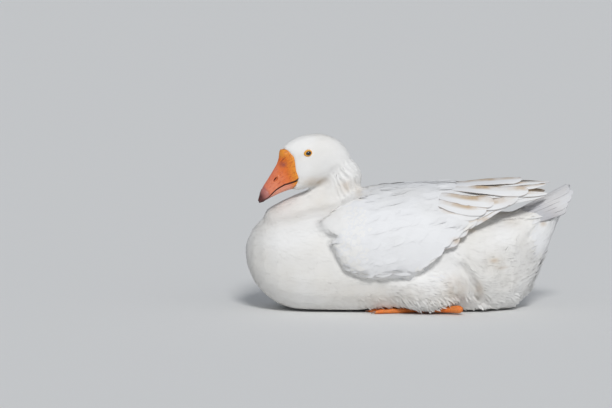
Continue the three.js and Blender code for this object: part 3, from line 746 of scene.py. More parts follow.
def unwrap_skin():
    """Unwraps the skin by its own shape, for the OFBake map, and returns each face's middle on it."""
    bpy.context.view_layer.objects.active = skin
    skin.select_set(True)
    bpy.ops.object.mode_set(mode="EDIT")
    bpy.ops.mesh.select_all(action="SELECT")
    bpy.ops.uv.smart_project(angle_limit=radians(66), island_margin=0.004)
    bpy.ops.object.mode_set(mode="OBJECT")
    layer = skin_mesh.uv_layers.active
    layer.name = "OFBake"
    uv = np.empty(len(skin_mesh.loops) * 2)
    layer.data.foreach_get("uv", uv)
    return uv.reshape(-1, 4, 2).mean(1)


bake_places = unwrap_skin()
BAKE_PATCH = 0.003  # size of each vane's place on the OFBake map

# ---------------------------------------------------------------- roots on the skin

TRIES = 3.2  # random places for each root that a scatter has room for
LEAST_CHANCE = 0.02  # faces with less of a chance get no roots
SAMPLES_PER_MM2 = 0.6  # random places that the roots of a row are picked from
# As shares of the gap in a row: how unevenly its roots stand, along and across it, and how far a random
# place may lie from one to be taken for it.
UNEVEN_ALONG, UNEVEN_ACROSS, NEAR_ENOUGH = 0.1, 0.08, 0.3


def random_places(faces):
    s, t = rng.random((2, len(faces), 1))
    a, b, c, d = (surface.verts[surface.quads[faces, k]] for k in range(4))
    return (a * (1 - s) + b * s) * (1 - t) + (d * (1 - s) + c * s) * t


def search_tree(places):
    tree = KDTree(len(places))
    for i, place_at in enumerate(places.tolist()):
        tree.insert(place_at, i)
    tree.balance()
    return tree


def scatter(spacing, weight):
    """Roots on the skin, no two closer than the spacing there (millimetres), where the weight allows."""
    corners = surface.quads
    gap = spacing[corners].mean(1)
    chance = weight[corners].mean(1)
    count = rng.poisson(surface.areas / MM**2 / gap**2 * (chance > LEAST_CHANCE) * TRIES)
    faces = np.repeat(np.arange(len(corners)), count)
    rng.shuffle(faces)
    points = random_places(faces)
    tree = search_tree(points)
    taken = np.zeros(len(points), bool)
    kept = []
    for i, (p, radius) in enumerate(zip(points.tolist(), (gap[faces] * MM).tolist())):
        if not taken[i]:
            kept.append(i)
            taken[[other for _, other, _ in tree.find_range(p, radius)]] = True
    kept = np.array(kept)
    kept = kept[rng.random(len(kept)) < chance[faces[kept]]]
    return points[kept], faces[kept]


def in_rows(weight, along, across, rows, gap):
    """Roots in staggered rows. along and across are each vertex's places, in millimetres.

    rows holds the rows' places along, and gap(row) is how far apart roots are in a row.
    """
    allowed = np.flatnonzero(weight[surface.quads].mean(1) > 0.5)
    faces = np.repeat(allowed, rng.poisson(surface.areas[allowed] / MM**2 * SAMPLES_PER_MM2))
    points = random_places(faces)
    u, v = surface.sample(along, points, faces), surface.sample(across, points, faces)
    tree = search_tree(together(u, v, 0))
    kept = []
    for number, row in enumerate(rows):
        step = gap(row)
        places = np.arange(v.min(), v.max(), step) + step * (0.5 * (number % 2))
        for place_in_row in places + rng.normal(0, UNEVEN_ALONG * step, len(places)):
            _, i, away = tree.find((row + rng.normal(0, UNEVEN_ACROSS * step), place_in_row, 0))
            if away < NEAR_ENOUGH * step:
                kept.append(i)
    kept = np.unique(kept)
    return points[kept], faces[kept]


# ---------------------------------------------------------------- vanes that grow from roots

VANE_WIDTH = profile([(0, 0.5), (0.3, 0.92), (0.6, 1), (0.8, 0.86), (0.93, 0.55), (1, 0.2)])
ROOT_LIFT = -0.4 * MM  # height of a vane's root over the skin
RISES_EARLY = 0.8  # below 1 a vane lifts more in its first half
GLIDE = 2.4 * MM  # a vane that finds the skin further off than this runs straight on
MOST_BENT = 0.55  # cosine of the most that a vane may bend with the skin; the others are left out
MOST_TILTED = 0.3  # cosine of the most that any of its faces may tilt from the skin
FLOOR_GAP = 0.3 * MM  # the lowest that a vane may hang
LENGTH_VARIES, WIDTH_VARIES, RISE_VARIES = 0.15, 0.12, 0.25
CLUMP_SIZE = 11  # millimetres


def turned(direction, normal, angle):
    """Directions turned about their normals."""
    angle = angle[:, None]
    return unit(direction * np.cos(angle) + np.cross(normal, direction) * np.sin(angle))


def march(points, faces, length, rows, wild, curl, lean):
    """Follows the lie of the coat from each root: places, normals and sideways directions, vane by row.

    It also gives the row at which each vane leaves the skin. With lean, a direction to add to the coat's,
    vanes hang straight and leave it at once.
    """
    at, on = points, faces
    gliding = np.full(len(points), lean is not None)
    spine, normals, sides = [], [], []
    left = np.full(len(points), rows + 1)
    for row in range(rows + 1):
        new_normal = unit(surface.sample(soft_normals, at, on))
        new_way = surface.sample(flow, at, on) + (lean or (0, 0, 0))
        new_way = turned(unit(along_skin(new_way, new_normal)), new_normal, wild + curl * row / rows)
        keep = gliding[:, None] & (row > 0)
        normal = np.where(keep, normals[-1] if row else 0, new_normal)
        way = np.where(keep, way if row else 0, new_way)
        spine.append(at)
        normals.append(normal)
        sides.append(np.cross(normal, way))
        if row < rows:
            ahead = at + way * (length / rows)[:, None]
            near, face = surface.nearest(ahead)
            leaves = np.linalg.norm(near - ahead, axis=1) > GLIDE
            left[leaves & ~gliding] = row
            gliding = gliding | leaves
            at = np.where(gliding[:, None], ahead, near)
            on = np.where(gliding, on, face)
    return *(np.stack(v, 1) for v in (spine, normals, sides)), left


def grow(name, material, roots, length, width, rise, rows=3, columns=4, *, wild=0.12, curl=0.1, crown=0.1,
         fray=0.12, taper=0.3, clump=0.0, hold=0.3, soft=0.5, lean=None, clear=()):
    """Grows one vane from each root, lying along the coat, and joins them into one piece.

    length, width and rise (the tip's height over the skin) are millimetres, one for each root. The others
    are wild, a random turn in radians; curl, a turn along the vane; crown, how far the edges droop, as a
    share of the width; fray, how ragged the tip is; taper, how round it is; clump, how much lumps raise
    it; hold, the share of its length over which a vane has to follow the skin; soft, how much it is shaded
    as the skin is; lean, as march takes it; and clear, (place in metres, distance) pairs to keep away from.
    """
    points, faces = roots
    n = len(points)
    wild = rng.normal(0, wild, n)
    curl = rng.normal(0, curl, n)
    length = length * (1 + rng.uniform(-LENGTH_VARIES, LENGTH_VARIES, n)) * MM
    width = width * (1 + rng.uniform(-WIDTH_VARIES, WIDTH_VARIES, n)) * MM
    lumps = clump * noise_at(points, CLUMP_SIZE, 8)
    rise = rise * (1 + rng.uniform(-RISE_VARIES, RISE_VARIES, n) + lumps) * MM
    across = np.linspace(-1, 1, columns + 1)
    reach = (1 - taper * np.abs(across) ** 2.2) * (1 - fray * rng.random((n, columns + 1)))
    spine, normals, sides, left = march(points, faces, length, rows, wild, curl, lean)
    keep = ((normals * normals[:, :1]).sum(2) > MOST_BENT).all(1) & (left >= hold * rows)
    for spot, distance in clear:
        keep &= np.linalg.norm(spine - spot, axis=2).min(1) > distance * MM
    spine, normals, sides, width, rise, reach, faces = (
        v[keep] for v in (spine, normals, sides, width, rise, reach, faces)
    )
    share = np.linspace(0, 1, rows + 1)
    who = np.arange(len(faces))[:, None]
    verts = np.empty((len(faces), rows + 1, columns + 1, 3))
    for j in range(columns + 1):
        here = reach[:, j : j + 1] * share[None]  # share of the spine that each row of this column reaches
        position = np.clip(here * rows, 0, rows - 1e-6)
        low = position.astype(int)
        part = (position - low)[..., None]
        p, up, side = (v[who, low] * (1 - part) + v[who, low + 1] * part for v in (spine, normals, sides))
        half = width[:, None] / 2 * VANE_WIDTH(here)
        lift = ROOT_LIFT + (rise[:, None] - ROOT_LIFT) * here**RISES_EARLY - crown * half * across[j] ** 2
        verts[:, :, j] = p + side * (half * across[j])[..., None] + up * lift[..., None]
    verts[..., 2] = np.maximum(verts[..., 2], FLOOR_GAP)
    facing = np.cross(verts[:, 1:, :-1] - verts[:, :-1, :-1], verts[:, :-1, 1:] - verts[:, :-1, :-1])
    flat_enough = ((unit(facing) * normals[:, :-1, None]).sum(3) > MOST_TILTED).all((1, 2))
    verts, normals, faces = verts[flat_enough], normals[flat_enough], faces[flat_enough]
    grid = np.arange((rows + 1) * (columns + 1)).reshape(rows + 1, columns + 1)
    quad = np.stack([grid[:-1, :-1], grid[1:, :-1], grid[1:, 1:], grid[:-1, 1:]], -1).reshape(-1, 4)
    quads = (quad[None] + (np.arange(len(faces)) * grid.size)[:, None, None]).reshape(-1, 4)
    flat = verts.reshape(-1, 3)
    mesh = smooth_mesh(name, flat.tolist(), quads.tolist())
    vane = together((across[None] + 1) / 2, share[:, None])
    set_uv(mesh, "OFBake", bake_places[faces][:, None, None] + (vane - 0.5)[None] * BAKE_PATCH)
    set_uv(mesh, "Wrap", np.broadcast_to(vane, (len(faces), *vane.shape)))
    # Vanes are shaded partly as the skin under them, so that many fine ones read as one soft surface.
    face_normals = np.cross(flat[quads[:, 2]] - flat[quads[:, 0]], flat[quads[:, 3]] - flat[quads[:, 1]])
    own = vertex_normals(quads, face_normals, len(flat))
    under = np.broadcast_to(normals[:, :, None], verts.shape).reshape(-1, 3)
    own *= np.where((own * under).sum(1, keepdims=True) < 0, -1, 1)
    mesh.normals_split_custom_set_from_vertices(unit(own * (1 - soft) + under * soft).tolist())
    return place(name, mesh, material, "plumage")


# ---------------------------------------------------------------- the coat

DOWN_WHITE = feather_material("white_down", DOWN, 0.75)
COVERT_WHITE = feather_material("white_vanes", VANES, 0.6, barbs=0.18)
LID_CLEARANCE = 5.6
SHELTER = 24 * MM  # skin with more skin this close above it is hidden, and stays bare

hidden = surface.spread(surface.covered(SHELTER), SHELTER_ROUNDS)
shown = ramp(0.93, 0.75, hidden)
body = np.clip(1 - on_wing - on_head - on_neck - on_back, 0, 1)
behind = body * ramp(70, 110, y)
undertail = body * ramp(196, 212, y) * ramp(60, 90, z)
low_down = body * ramp(60, 25, z) * ramp(-30, 30, y)
fluffy = np.clip(np.maximum(behind, np.maximum(on_thigh, low_down)) - undertail, 0, 1)
fluffy = fluffy * (1 - 0.9 * ramp(92, 130, z) * (1 - on_thigh))
mantle = on_back * ramp(122, 100, y)
shoulder = on_wing * at_shoulder()
smooth_body = np.clip(body + shoulder + on_back * ramp(-30, -60, y) - fluffy - undertail, 0, 1)
rear_end = ramp(185, 215, y) * ramp(105, 85, z)
hem = (body + on_thigh > 0.4) * (shown > 0.3) * ramp(34, 28, z) * ramp(6, 10, z) * ramp(-80, -20, y)


def coat_piece(name, weight, material, spacing, length, width, rise, rows, columns, **shape):
    """One piece of coat: where it grows, its material, then millimetres that may differ by vertex."""
    roots = scatter(spacing + 0 * x, weight * shown)
    sizes = [surface.sample(np.asarray(v + 0 * x), *roots) for v in (length, width, rise)]
    return grow(name, material, roots, *sizes, rows, columns, **shape)


crown = ramp(-5, -80, face_ahead)
eye_spots = [(from_head_frame(side * EYE_AT[0], *EYE_AT[1:]), LID_CLEARANCE) for side in SIDES.values()]
coat_piece("coat_head", (on_head > 0.5) * 1.0, DOWN_WHITE, 0.82 + 0.5 * crown, 4.4 + 4.5 * crown,
           1.35 + 1.2 * crown, 0.42 + 0.4 * crown, 3, 2, fray=0.3, taper=0.6, wild=0.2, soft=0.7,
           clear=eye_spots)
coat_piece("coat_neck", ((on_neck >= 0.5) & (on_head <= 0.5)) * 1.0, DOWN_WHITE, 1.75, 9, 3.2, 0.8, 3, 3,
           fray=0.25, taper=0.45, soft=0.6, clump=0.6)
for side_name, side in SIDES.items():
    here = np.sign(x) == side
    coat_piece("coat_breast_" + side_name, smooth_body * (on_neck < 0.5) * here, DOWN_WHITE, 2.7, 17, 7,
               0.8, 3, 4, fray=0.2, taper=0.4, crown=0.03, soft=0.78, clump=0.6)
    coat_piece("coat_rear_" + side_name, fluffy * here, DOWN_WHITE, 2.6, 17, 4.2, 1.0,
               3, 3, fray=0.35, taper=0.5, wild=0.16, crown=0.03, soft=0.85, clump=0.6, hold=0.6)
    coat_piece("coat_tufts_" + side_name, 0.8 * fluffy * here, DOWN_WHITE, 2.9, 24, 1.8, 2.0 + 4 * rear_end,
               5, 2, fray=0.3, wild=0.22, curl=0.5, soft=0.8, clump=0.8, hold=0.6)
    coat_piece("coat_hem_" + side_name, hem * here, DOWN_WHITE, 2.2, 20, 3.0, 1.4,
               4, 2, fray=0.35, wild=0.22, soft=0.8, lean=(0, 0.2, -0.9), hold=0)
coat_piece("coat_undertail", undertail, COVERT_WHITE, 4.4, 42, 9, 1.1,
           6, 6, fray=0.1, taper=0.4, crown=0.05, soft=0.7, clump=0.4, hold=0.8)
coat_piece("coat_mantle", mantle, COVERT_WHITE, 7, 40, 20, 0.9,
           6, 8, fray=0.05, taper=0.4, crown=0.05, soft=0.65, hold=0.8)

# The wing coverts lie in rows that curve round the wing's tip, closer together nearer the front.
wing_bearing = wing_angle(x, y, z)
tip_ahead = WING_TIP[0] - y
tip_across = (wing_bearing - radians(WING_TIP[1])) * wing_arm(y)
from_tip = np.hypot(tip_ahead, tip_across)
round_tip = np.arctan2(tip_across, tip_ahead) * from_tip
COVERT_ROWS = 410 - np.cumsum(6 + 5 * ramp(0, 24, np.arange(42.0)))
for side_name, side in SIDES.items():
    here = np.sign(x) == side
    room = (past_coverts(y, wing_bearing) < -24) * (shown > 0.3)
    roots = in_rows((on_wing - shoulder > 0.3) * here * room * 1.0, from_tip, round_tip, COVERT_ROWS,
                    lambda row: 7.5 + 7 * ramp(400, 230, row))
    big = ramp(410, 240, surface.sample(from_tip, *roots))
    hold = 0.5 + 0.5 * ramp(-10, -45, surface.sample(y, *roots))
    front_edge = (on_wing > 0.35) * here * ramp(-58, -76, y) * (z < 168)
    coat_piece("coat_wrist_" + side_name, front_edge, DOWN_WHITE, 4.2, 15, 9, 0.9,
               4, 4, fray=0.1, taper=0.35, crown=0.04, soft=0.72, clump=0.5, hold=0.8)
    grow("coat_wing_" + side_name, COVERT_WHITE, roots, 24 + 24 * big, 13 + 11 * big, 0.6 + 0.3 * big, 7, 8,
         fray=0.05, taper=0.3, crown=0.04, wild=0.07, curl=0.06, soft=0.74, clump=0.5, hold=hold)

# ---------------------------------------------------------------- flight feathers

# Each feather of the folded wing: its lower edge as (y, degrees above the widest line) from root to tip,
# then its width and how deep it lies, in millimetres. Those that lie less deep cover the others.
TERTIALS = [
    ([(62, 70), (96, 69.6), (144, 63.9), (194, 59)], 34, 0.3),
    ([(58, 64.5), (96, 59.8), (120, 53.1), (144, 45.8), (168, 38), (203, 29.8)], 25, 0.9),
    ([(40, 53), (64, 48.8), (96, 40.3), (128, 31), (147, 26)], 26, 1.5),
    ([(42, 43), (64, 38.4), (80, 33.3), (109, 25.2), (135, 20)], 26, 2.1),
    ([(70, 44), (100, 36), (128, 28), (160, 23.5), (187, 24)], 24, 2.7),
]
PRIMARIES = [
    ([(120, 60), (184, 57), (208, 59), (239, 76)], 12, 2.4),
    ([(120, 50), (184, 47), (208, 48), (233, 58)], 12, 3.2),
    ([(100, 48), (160, 40), (184, 34), (208, 30.5), (234, 28)], 12, 3.0),
    ([(84, 16), (112, 19), (136, 21.5), (160, 27), (184, 30), (212, 30)], 14, 4.4),
    ([(84, 8), (104, 10.5), (120, 13.3), (136, 16.3), (160, 21.9), (184, 25.2), (208, 24.4), (232, 25.5)],
     14, 5.2),
]
SECONDARIES = [
    ([(40, 32), (80, 25), (110, 20), (128, 19)], 26, 3.6),
    ([(38, 22), (70, 16), (100, 12), (120, 11)], 26, 4.2),
    ([(36, 12), (70, 7), (106, 5)], 26, 4.8),
    ([(34, 2), (60, -1), (92, -1)], 26, 5.2),
]
# Each kind's feathers, and the share of their length from which they round off to the tip.
FLIGHT_KINDS = {
    "tertials": (TERTIALS, 0.86),
    "secondaries": (SECONDARIES, 0.8),
    "primaries": (PRIMARIES, 0.72),
}
TAIL_BLUNTNESS = 0.82
RIGHT_UNDER_LEFT = 1.6  # how much deeper the right wing's flight feathers lie
ROOT_DIVE = 3.2  # how much deeper a flight feather's root lies than its tip
VANE_THICKNESS = 0.5
VANE_ROWS, TAIL_ROWS, VANE_COLUMNS = 40, 30, 11  # of each sheet's grid


def vane_outline(s, bluntness):
    """Half width along a flight feather, as a share of its full half width."""
    base = 0.35 + 0.65 * ramp(0, 0.35, s)
    return base * np.maximum(1 - np.clip((s - bluntness) / (1 - bluntness), 0, 1) ** 2.3, 0.0016) ** 0.5


def smooth_line(values, rounds=4):
    for _ in range(rounds):
        values[1:-1] = (values[:-2] + values[1:-1] + values[2:]) / 3
    return values


def vane_sheet(position, rows, columns, bluntness):
    """A closed thin vane and its Wrap map.

    position(s, v, lift) gives points for rows s, across v, lifted by millimetres.
    """
    s = 1 - (1 - np.linspace(0, 1, rows)) ** 1.35
    v = np.linspace(-1, 1, columns)
    wear = 1 - 0.06 * smooth_line(rng.random((rows, 2))) - 0.03 * rng.random((rows, 2))
    for _ in range(rng.integers(1, 4)):  # places where the vane has split along its barbs
        row, edge = rng.integers(rows // 3, rows - 4), rng.integers(0, 2)
        wear[row, edge] -= rng.uniform(0.04, 0.12)
    s, half = s[:, None], vane_outline(s, bluntness)[:, None]
    across = v[None] * half * np.where(v < 0, wear[:, :1], wear[:, 1:])
    shaft = 0.3 * np.exp(-((v / 0.1) ** 2))[None] * (1 - 0.75 * s)
    droop = 0.3 * across**2 + 0.35 * np.sin(9 * s + rng.uniform(0, 6)) * v[None] ** 2
    top = position(s + 0 * across, across, shaft - droop)
    under = position(s + 0 * across, across, -droop - VANE_THICKNESS * (1 - 0.75 * v[None] ** 2))
    wrap = together((v[None] + 1) / 2, s)
    return shell(top, under), shell(wrap, wrap)


def feather_piece(name, sheets, material, replaced):
    rings, maps = zip(*sheets)
    closed_piece(name, rings, material, "flight_feathers", [replaced], maps=maps)


def flight_feathers(side_name, side, kind, feathers, bluntness, material):
    sheets = []
    for lower_edge, width, deep in feathers:
        lower = profile(lower_edge)
        y0, y1 = lower_edge[0][0], lower_edge[-1][0]

        def position(s, across, lift):
            at = y0 + (y1 - y0) * s
            angle = np.radians(lower(at)) + (1 + across) * width / 2 / wing_arm(at)
            sunk = deep + ROOT_DIVE * (1 - s) ** 2 - lift + (RIGHT_UNDER_LEFT if side < 0 else 0)
            return on_wing_envelope(side, at, np.minimum(angle, pi / 2 - 0.02), sunk)

        sheets.append(vane_sheet(position, VANE_ROWS, VANE_COLUMNS, bluntness))
    feather_piece(f"{kind}_{side_name}", sheets, material, f"wing_{side_name}_flight")


TAIL_ARCH = radians(95)
TAIL_RADIUS = (26, 33)  # of the arch, at the roots and at the tips
TAIL_FEATHERS = 14
tail_reach = profile([(0, 1), (0.4, 1.02), (0.7, 0.9), (1, 0.7)])  # from the middle feather outwards


def tail_feathers(material):
    sheets = []
    for number in range(TAIL_FEATHERS):
        middle = (2 * number + 1) / TAIL_FEATHERS - 1
        deep = 4.2 * abs(middle) + rng.uniform(0, 0.3)
        length = TAIL_LENGTH * tail_reach(abs(middle)) * rng.uniform(0.95, 1.0)

        def position(s, across, lift):
            roll = (middle + across * (0.13 + 0.05 * s)) * TAIL_ARCH
            radius = TAIL_RADIUS[0] + (TAIL_RADIUS[1] - TAIL_RADIUS[0]) * s
            out = radius - deep + lift
            return from_tail(out * np.sin(roll), length * s, out * np.cos(roll) - radius)

        sheets.append(vane_sheet(position, TAIL_ROWS, VANE_COLUMNS, TAIL_BLUNTNESS))
    feather_piece("tail_feathers", sheets, material, "tail")


def flight_material(name, whites, stain_and_shade, edge_shade_colour):
    """Stiff white vanes with fine slanting barbs, tan where the next feather lies over them, partly stain
    and partly painted shade, and with painted shade along their edges.
    """
    m = Nodes(name)
    across = m.off_middle()
    under_next = m.range(m.wrap("X"), 0.42, 0.66)
    patch = m.range(m.noise(26, 4), 0.4, 0.62, 0.15, 1.0)
    paint_plumage(m, *whites)
    # tan on the strip that the next feather covers: partly stain, partly painted shade
    m.paint(m.times(under_next, patch, m.range(m.axis("Y"), 0.035, 0.11), stain_and_shade), TAN)
    # painted shade along each vane's edges
    m.paint(m.times(m.range(across, 0.43, 0.49, 0.0, 0.7), m.range(m.noise(40, 3), 0.35, 0.6)), edge_shade_colour)
    m.paint(m.range(across, 0.0, 0.035, 0.35, 0.0), (0.70, 0.64, 0.54))  # the shaft
    slant = m.plus(m.times(across, -150.0), m.times(m.wrap("Y"), 640.0))
    barbs = m.math("SINE", m.plus(slant, m.times(m.noise(45, 2), 9.0)))
    ruffle = m.noise(60, 4, roughness=0.6)
    m.bump(m.plus(m.times(barbs, 0.16), m.times(ruffle, 1.2)), 0.4, 0.0004)
    return m.finish(Roughness=0.5, Specular_IOR_Level=0.35, Sheen_Weight=0.1)


FLIGHT = flight_material("flight_vanes", VANES, 1.0, (0.34, 0.22, 0.14))
for side_name, side in SIDES.items():
    for kind, (feathers, bluntness) in FLIGHT_KINDS.items():
        flight_feathers(side_name, side, kind, feathers, bluntness, FLIGHT)
tail_feathers(flight_material("tail_vanes", TAIL_SHADED_WHITES, 0.12, (0.22, 0.21, 0.23)))

# ---------------------------------------------------------------- bill

# The bill's sections in the head's frame, in millimetres: forward, bottom, top, half width.
BILL_SECTIONS = [
    (66, -2.2, 0.4, 0.8), (63.5, -4, 3.8, 5), (58, -4.6, 8.4, 8.6), (50, -5, 14.6, 11), (36, -6, 22.2, 13),
    (22, -8, 29.6, 14.6), (10, -11, 36.8, 16), (0, -16, 46, 18.5), (-6, -19, 53, 21), (-15, -22, 57, 24),
]
BILL_TIP = 65.8
RIDGE_ROUNDNESS, KEEL_ROUNDNESS = 1.65, 2.4
bill_bottom, bill_top, bill_half = profiles(BILL_SECTIONS)
# Where the face's feathers start: (up, forward).
face_edge = profile([(-30, 15), (-13, 14), (-9, 9), (-5, 2), (0.2, -2.3), (16.7, -6.6), (29.5, -12.5),
                     (38.5, -15), (48.5, -12), (54, -5), (62, -4)])
# The line of the mouth: (forward, up).
gape = profile([(-4, 0.4), (0, 0), (10.7, 1.5), (21, 3.3), (32.5, 3), (41.8, 1), (49.5, -1.2), (56, -2.2),
                (63, -3.2), (72, -4)])
UNDER_FEATHERS = 3.0  # how far the bill runs back under the face's feathers
MOUTH_GAP = 1.2
MOUTH_HOLLOW = 2.2  # how deep the inner side of each half is hollowed
NOSTRIL = {
    "forward": 26.5, "up": 17.8, "half_length": 4.2, "half_height": 1.7, "tilt": radians(-20), "depth": 3.2,
}
NAIL_BACK = 47  # how far forward the nail at the bill's tip starts
COMB_PITCH, COMB_HEIGHT = 1.5, 0.22
BILL_ROWS = {"upper": 130, "lower": 210}
BILL_AROUND = 75
SETTLING_ROUNDS = 50
# Folds of the upper bill, each along the line up + slant * forward = middle, in millimetres: how far it
# stands out, slant, middle, width, then the forward place that it is centred on and its reach there.
BILL_FOLDS = [
    (1.3, 0, 47, 7, -3, 6),  # the fleshy lobe at the top of the base
    (-1.5, 0.35, 38.5, 1.3, -1, 9),  # the creases under it
    (-0.6, 0.8, 31.5, 0.9, 3, 6),
    (-0.5, 0.6, 26.0, 0.8, 8, 7),
    (0.5, 0, 6, 5, -3, 4),  # the swelling at the corner of the mouth
]


def nostril_distance(forward, up):
    """1 on the nostril's edge, less inside it."""
    df, du = forward - NOSTRIL["forward"], up - NOSTRIL["up"]
    c, s = cos(NOSTRIL["tilt"]), sin(NOSTRIL["tilt"])
    return np.hypot((df * c + du * s) / NOSTRIL["half_length"], (du * c - df * s) / NOSTRIL["half_height"])


def bill_relief(forward, up):
    """How far the upper bill stands out from its plain shape, in millimetres."""
    hole = nostril_distance(forward, up)
    relief = -NOSTRIL["depth"] * ramp(1.2, 0.7, hole)
    relief = relief + 0.45 * hump(hole, 1.55, 0.35) - 0.7 * hump(hole, 0, 3.2)
    for height, slant, middle, width, at, along in BILL_FOLDS:
        relief += height * hump(up + slant * forward, middle, width) * hump(forward, at, along)
    nail_back = NAIL_BACK + 0.06 * (up - 6) ** 2
    relief += 0.55 * ramp(nail_back - 0.5, nail_back + 2, forward) - 0.5 * hump(forward, nail_back, 0.8)
    return relief + 0.35 * hump(up - gape(forward), 2.0, 1.1)  # the lip over the mouth


def comb_relief(forward, below):
    """The combs along the lower bill's edge, and the crease under them, in millimetres."""
    combs = COMB_HEIGHT * np.cos(2 * pi * forward / COMB_PITCH) * ramp(0.3, 0.8, below)
    return combs * ramp(4.2, 2.6, below) * ramp(4, 9, forward) - 0.5 * hump(below, 4.6, 0.7)


def outward(grid, middle):
    """The normals of a grid of points, turned away from a line at (0, forward, middle)."""
    normal = unit(np.cross(np.gradient(grid, axis=0), np.gradient(grid, axis=1)))
    away = together(grid[..., 0], 0, grid[..., 2] - middle)
    return normal * np.sign((normal * away).sum(-1, keepdims=True))


def bill_rings(count, around, upper):
    """Rings across the upper or the lower bill, from under the feathers to the tip, and their Wrap map."""
    t = np.linspace(0, 1, count)[:, None] ** 0.9
    lap = np.linspace(-1, 1, around)[None]  # from one edge of the mouth, over the ridge or keel
    sign, roundness = (1, RIDGE_ROUNDNESS) if upper else (-1, KEEL_ROUNDNESS)
    forward = 0 * lap + BILL_TIP * t
    for _ in range(SETTLING_ROUNDS):  # how far back each place starts depends on its height
        middle = gape(forward)
        reach = bill_top(forward) if upper else -bill_bottom(forward)
        edge = sign * (middle + sign * MOUTH_GAP / 2)
        start = np.sign(edge) * np.arcsin(np.clip(np.abs(edge) / reach, 0, 0.95) ** (roundness / 2))
        angle = start + (pi / 2 - start) * (1 - np.abs(lap))
        out = bill_half(forward) * (1 if upper else 0.9) * np.maximum(np.cos(angle), 0) ** (2 / roundness)
        up = sign * reach * np.sign(angle) * np.abs(np.sin(angle)) ** (2 / roundness)
        rear = face_edge(up) - UNDER_FEATHERS
        forward = 0.7 * forward + 0.3 * (rear + (BILL_TIP - rear) * t)
    sheet = together(np.sign(lap) * out, forward, up)
    relief = bill_relief(forward, up) if upper else comb_relief(forward, middle - up)
    relief = relief * ramp(1, 0.965, t) * ramp(0, 0.05, t) - 2.0 * ramp(0.05, 0, t)
    sheet = sheet + outward(sheet, 10 if upper else -4) * relief[..., None]
    lid = np.linspace(1, -1, 7)[None, 1:-1]  # back across the mouth
    hollow = middle[:, :1] + sign * (MOUTH_GAP / 2 + MOUTH_HOLLOW * (1 - lid**2) * ramp(1, 0.9, t))
    back = together(sheet[:, -1:, 0] * lid, sheet[:, -1:, 1], hollow)
    wrap = together((lap + 1) / 2, t)
    wrap = np.concatenate([wrap, wrap[:, -1:] + 0 * lid[..., None]], 1)
    return np.concatenate([sheet, back], 1) * [MM, -MM, MM], wrap


# Dark red for painted shade in the nostril and along the mouth.
SHADE_RED = (0.05, 0.008, 0.006)


def paint_upper_bill(m, forward, up):
    """Painted shade over the base, under the lobe and in its crease; the orange lobe; the pink bridge; and
    painted shade in the nostril's slit.
    """
    ragged = m.range(m.noise(330, 4, roughness=0.65), 0.3, 0.7, 0.55, 1.45)
    # painted shade in a patch under the lobe
    patch = m.times(m.bell(up, 32.0, 9.0), m.bell(forward, 4.0, 10.0), ragged)
    m.paint(m.range(patch, 0.2, 0.95, 0, 0.8), (0.34, 0.09, 0.06))
    # painted shade in the crease under the lobe
    crease = m.bell(m.plus(up, m.times(forward, 0.35)), 38.5, 1.9)
    crease = m.times(crease, m.bell(forward, 0.0, 8.0), ragged)
    m.paint(m.range(crease, 0.2, 0.9, 0, 0.75), (0.24, 0.05, 0.02))
    m.paint(m.times(m.bell(up, 48.0, 9.0), m.bell(forward, -2.0, 10.0), 0.8), (0.84, 0.33, 0.04))
    bridge = m.times(m.range(m.plus(up, m.times(forward, 0.55)), 33, 38), m.range(forward, 6, 16))
    m.paint(m.times(bridge, 0.45), (0.74, 0.22, 0.14))
    # painted shade in the nostril's slit
    slit = m.bell(m.plus(up, m.times(forward, 0.364)), 27.4, 2.0)
    m.paint(m.range(m.times(slit, m.bell(forward, NOSTRIL["forward"], 5.0)), 0.12, 0.4), SHADE_RED)


def bill_material(name, upper):
    m = Nodes(name)
    forward, up = m.times(m.axis("Y"), -1 / MM), m.times(m.axis("Z"), 1 / MM)
    mottle = m.noise(190, 4)
    pinker = m.range(m.plus(forward, m.times(mottle, 22.0)), 14, 48)
    m.colour = m.mix(pinker, (0.78, 0.17, 0.02), (0.72, 0.21, 0.10))
    m.paint(m.range(m.wrap("Y"), 0.05, 0.24, 0.85, 0), (0.86, 0.34, 0.03))
    drawn_out = m.node("ShaderNodeMapping", {"Vector": m.coords(), "Scale": (1, 0.25, 0.8)}).outputs[0]
    streaks = m.range(m.noise(520, 4, drawn_out, 0.6), 0.5, 0.66)
    m.paint(m.times(streaks, 0.6), (0.46, 0.055, 0.012))
    if upper:
        paint_upper_bill(m, forward, up)
    else:
        m.paint(m.range(forward, 2, 14, 0, 0.75), (0.78, 0.36, 0.26))
    nail = m.range(m.plus(forward, m.times(mottle, 5.0)), 46.5, 51)
    m.paint(m.times(nail, 0.85), (0.40, 0.16, 0.15))
    # painted shade over the tip of the nail
    m.paint(m.range(m.plus(forward, m.times(mottle, 6.0)), 55, 63, 0, 0.94), (0.07, 0.02, 0.02))
    # painted shade along the line of the mouth
    m.paint(m.range(m.off_middle(), 0.478, 0.494, 0, 0.95), SHADE_RED)  # beside the mouth
    m.paint(m.range(m.noise(900, 3), 0.5, 0.8, 0, 0.4), (0.46, 0.09, 0.03))
    m.bump(m.plus(m.noise(700, 4, roughness=0.65), m.times(m.noise(160, 2), 0.8)), 0.4, 0.0006)
    return m.finish(Roughness=m.range(mottle, 0.3, 0.7, 0.34, 0.5), Specular_IOR_Level=0.45,
                    Subsurface_Weight=0.08, Subsurface_Scale=0.004, Subsurface_Radius=(1.0, 0.35, 0.15))


for part, replaced in (("upper", ["bill_upper", "bill_nail"]), ("lower", ["bill_lower"])):
    rings, wrap = bill_rings(BILL_ROWS[part], BILL_AROUND, part == "upper")
    material = bill_material("horn_" + part, part == "upper")
    closed_piece(f"bill_{part}_horn", [rings], material, "bill_horn", replaced, HEAD_FRAME, [wrap])

# ---------------------------------------------------------------- eyes

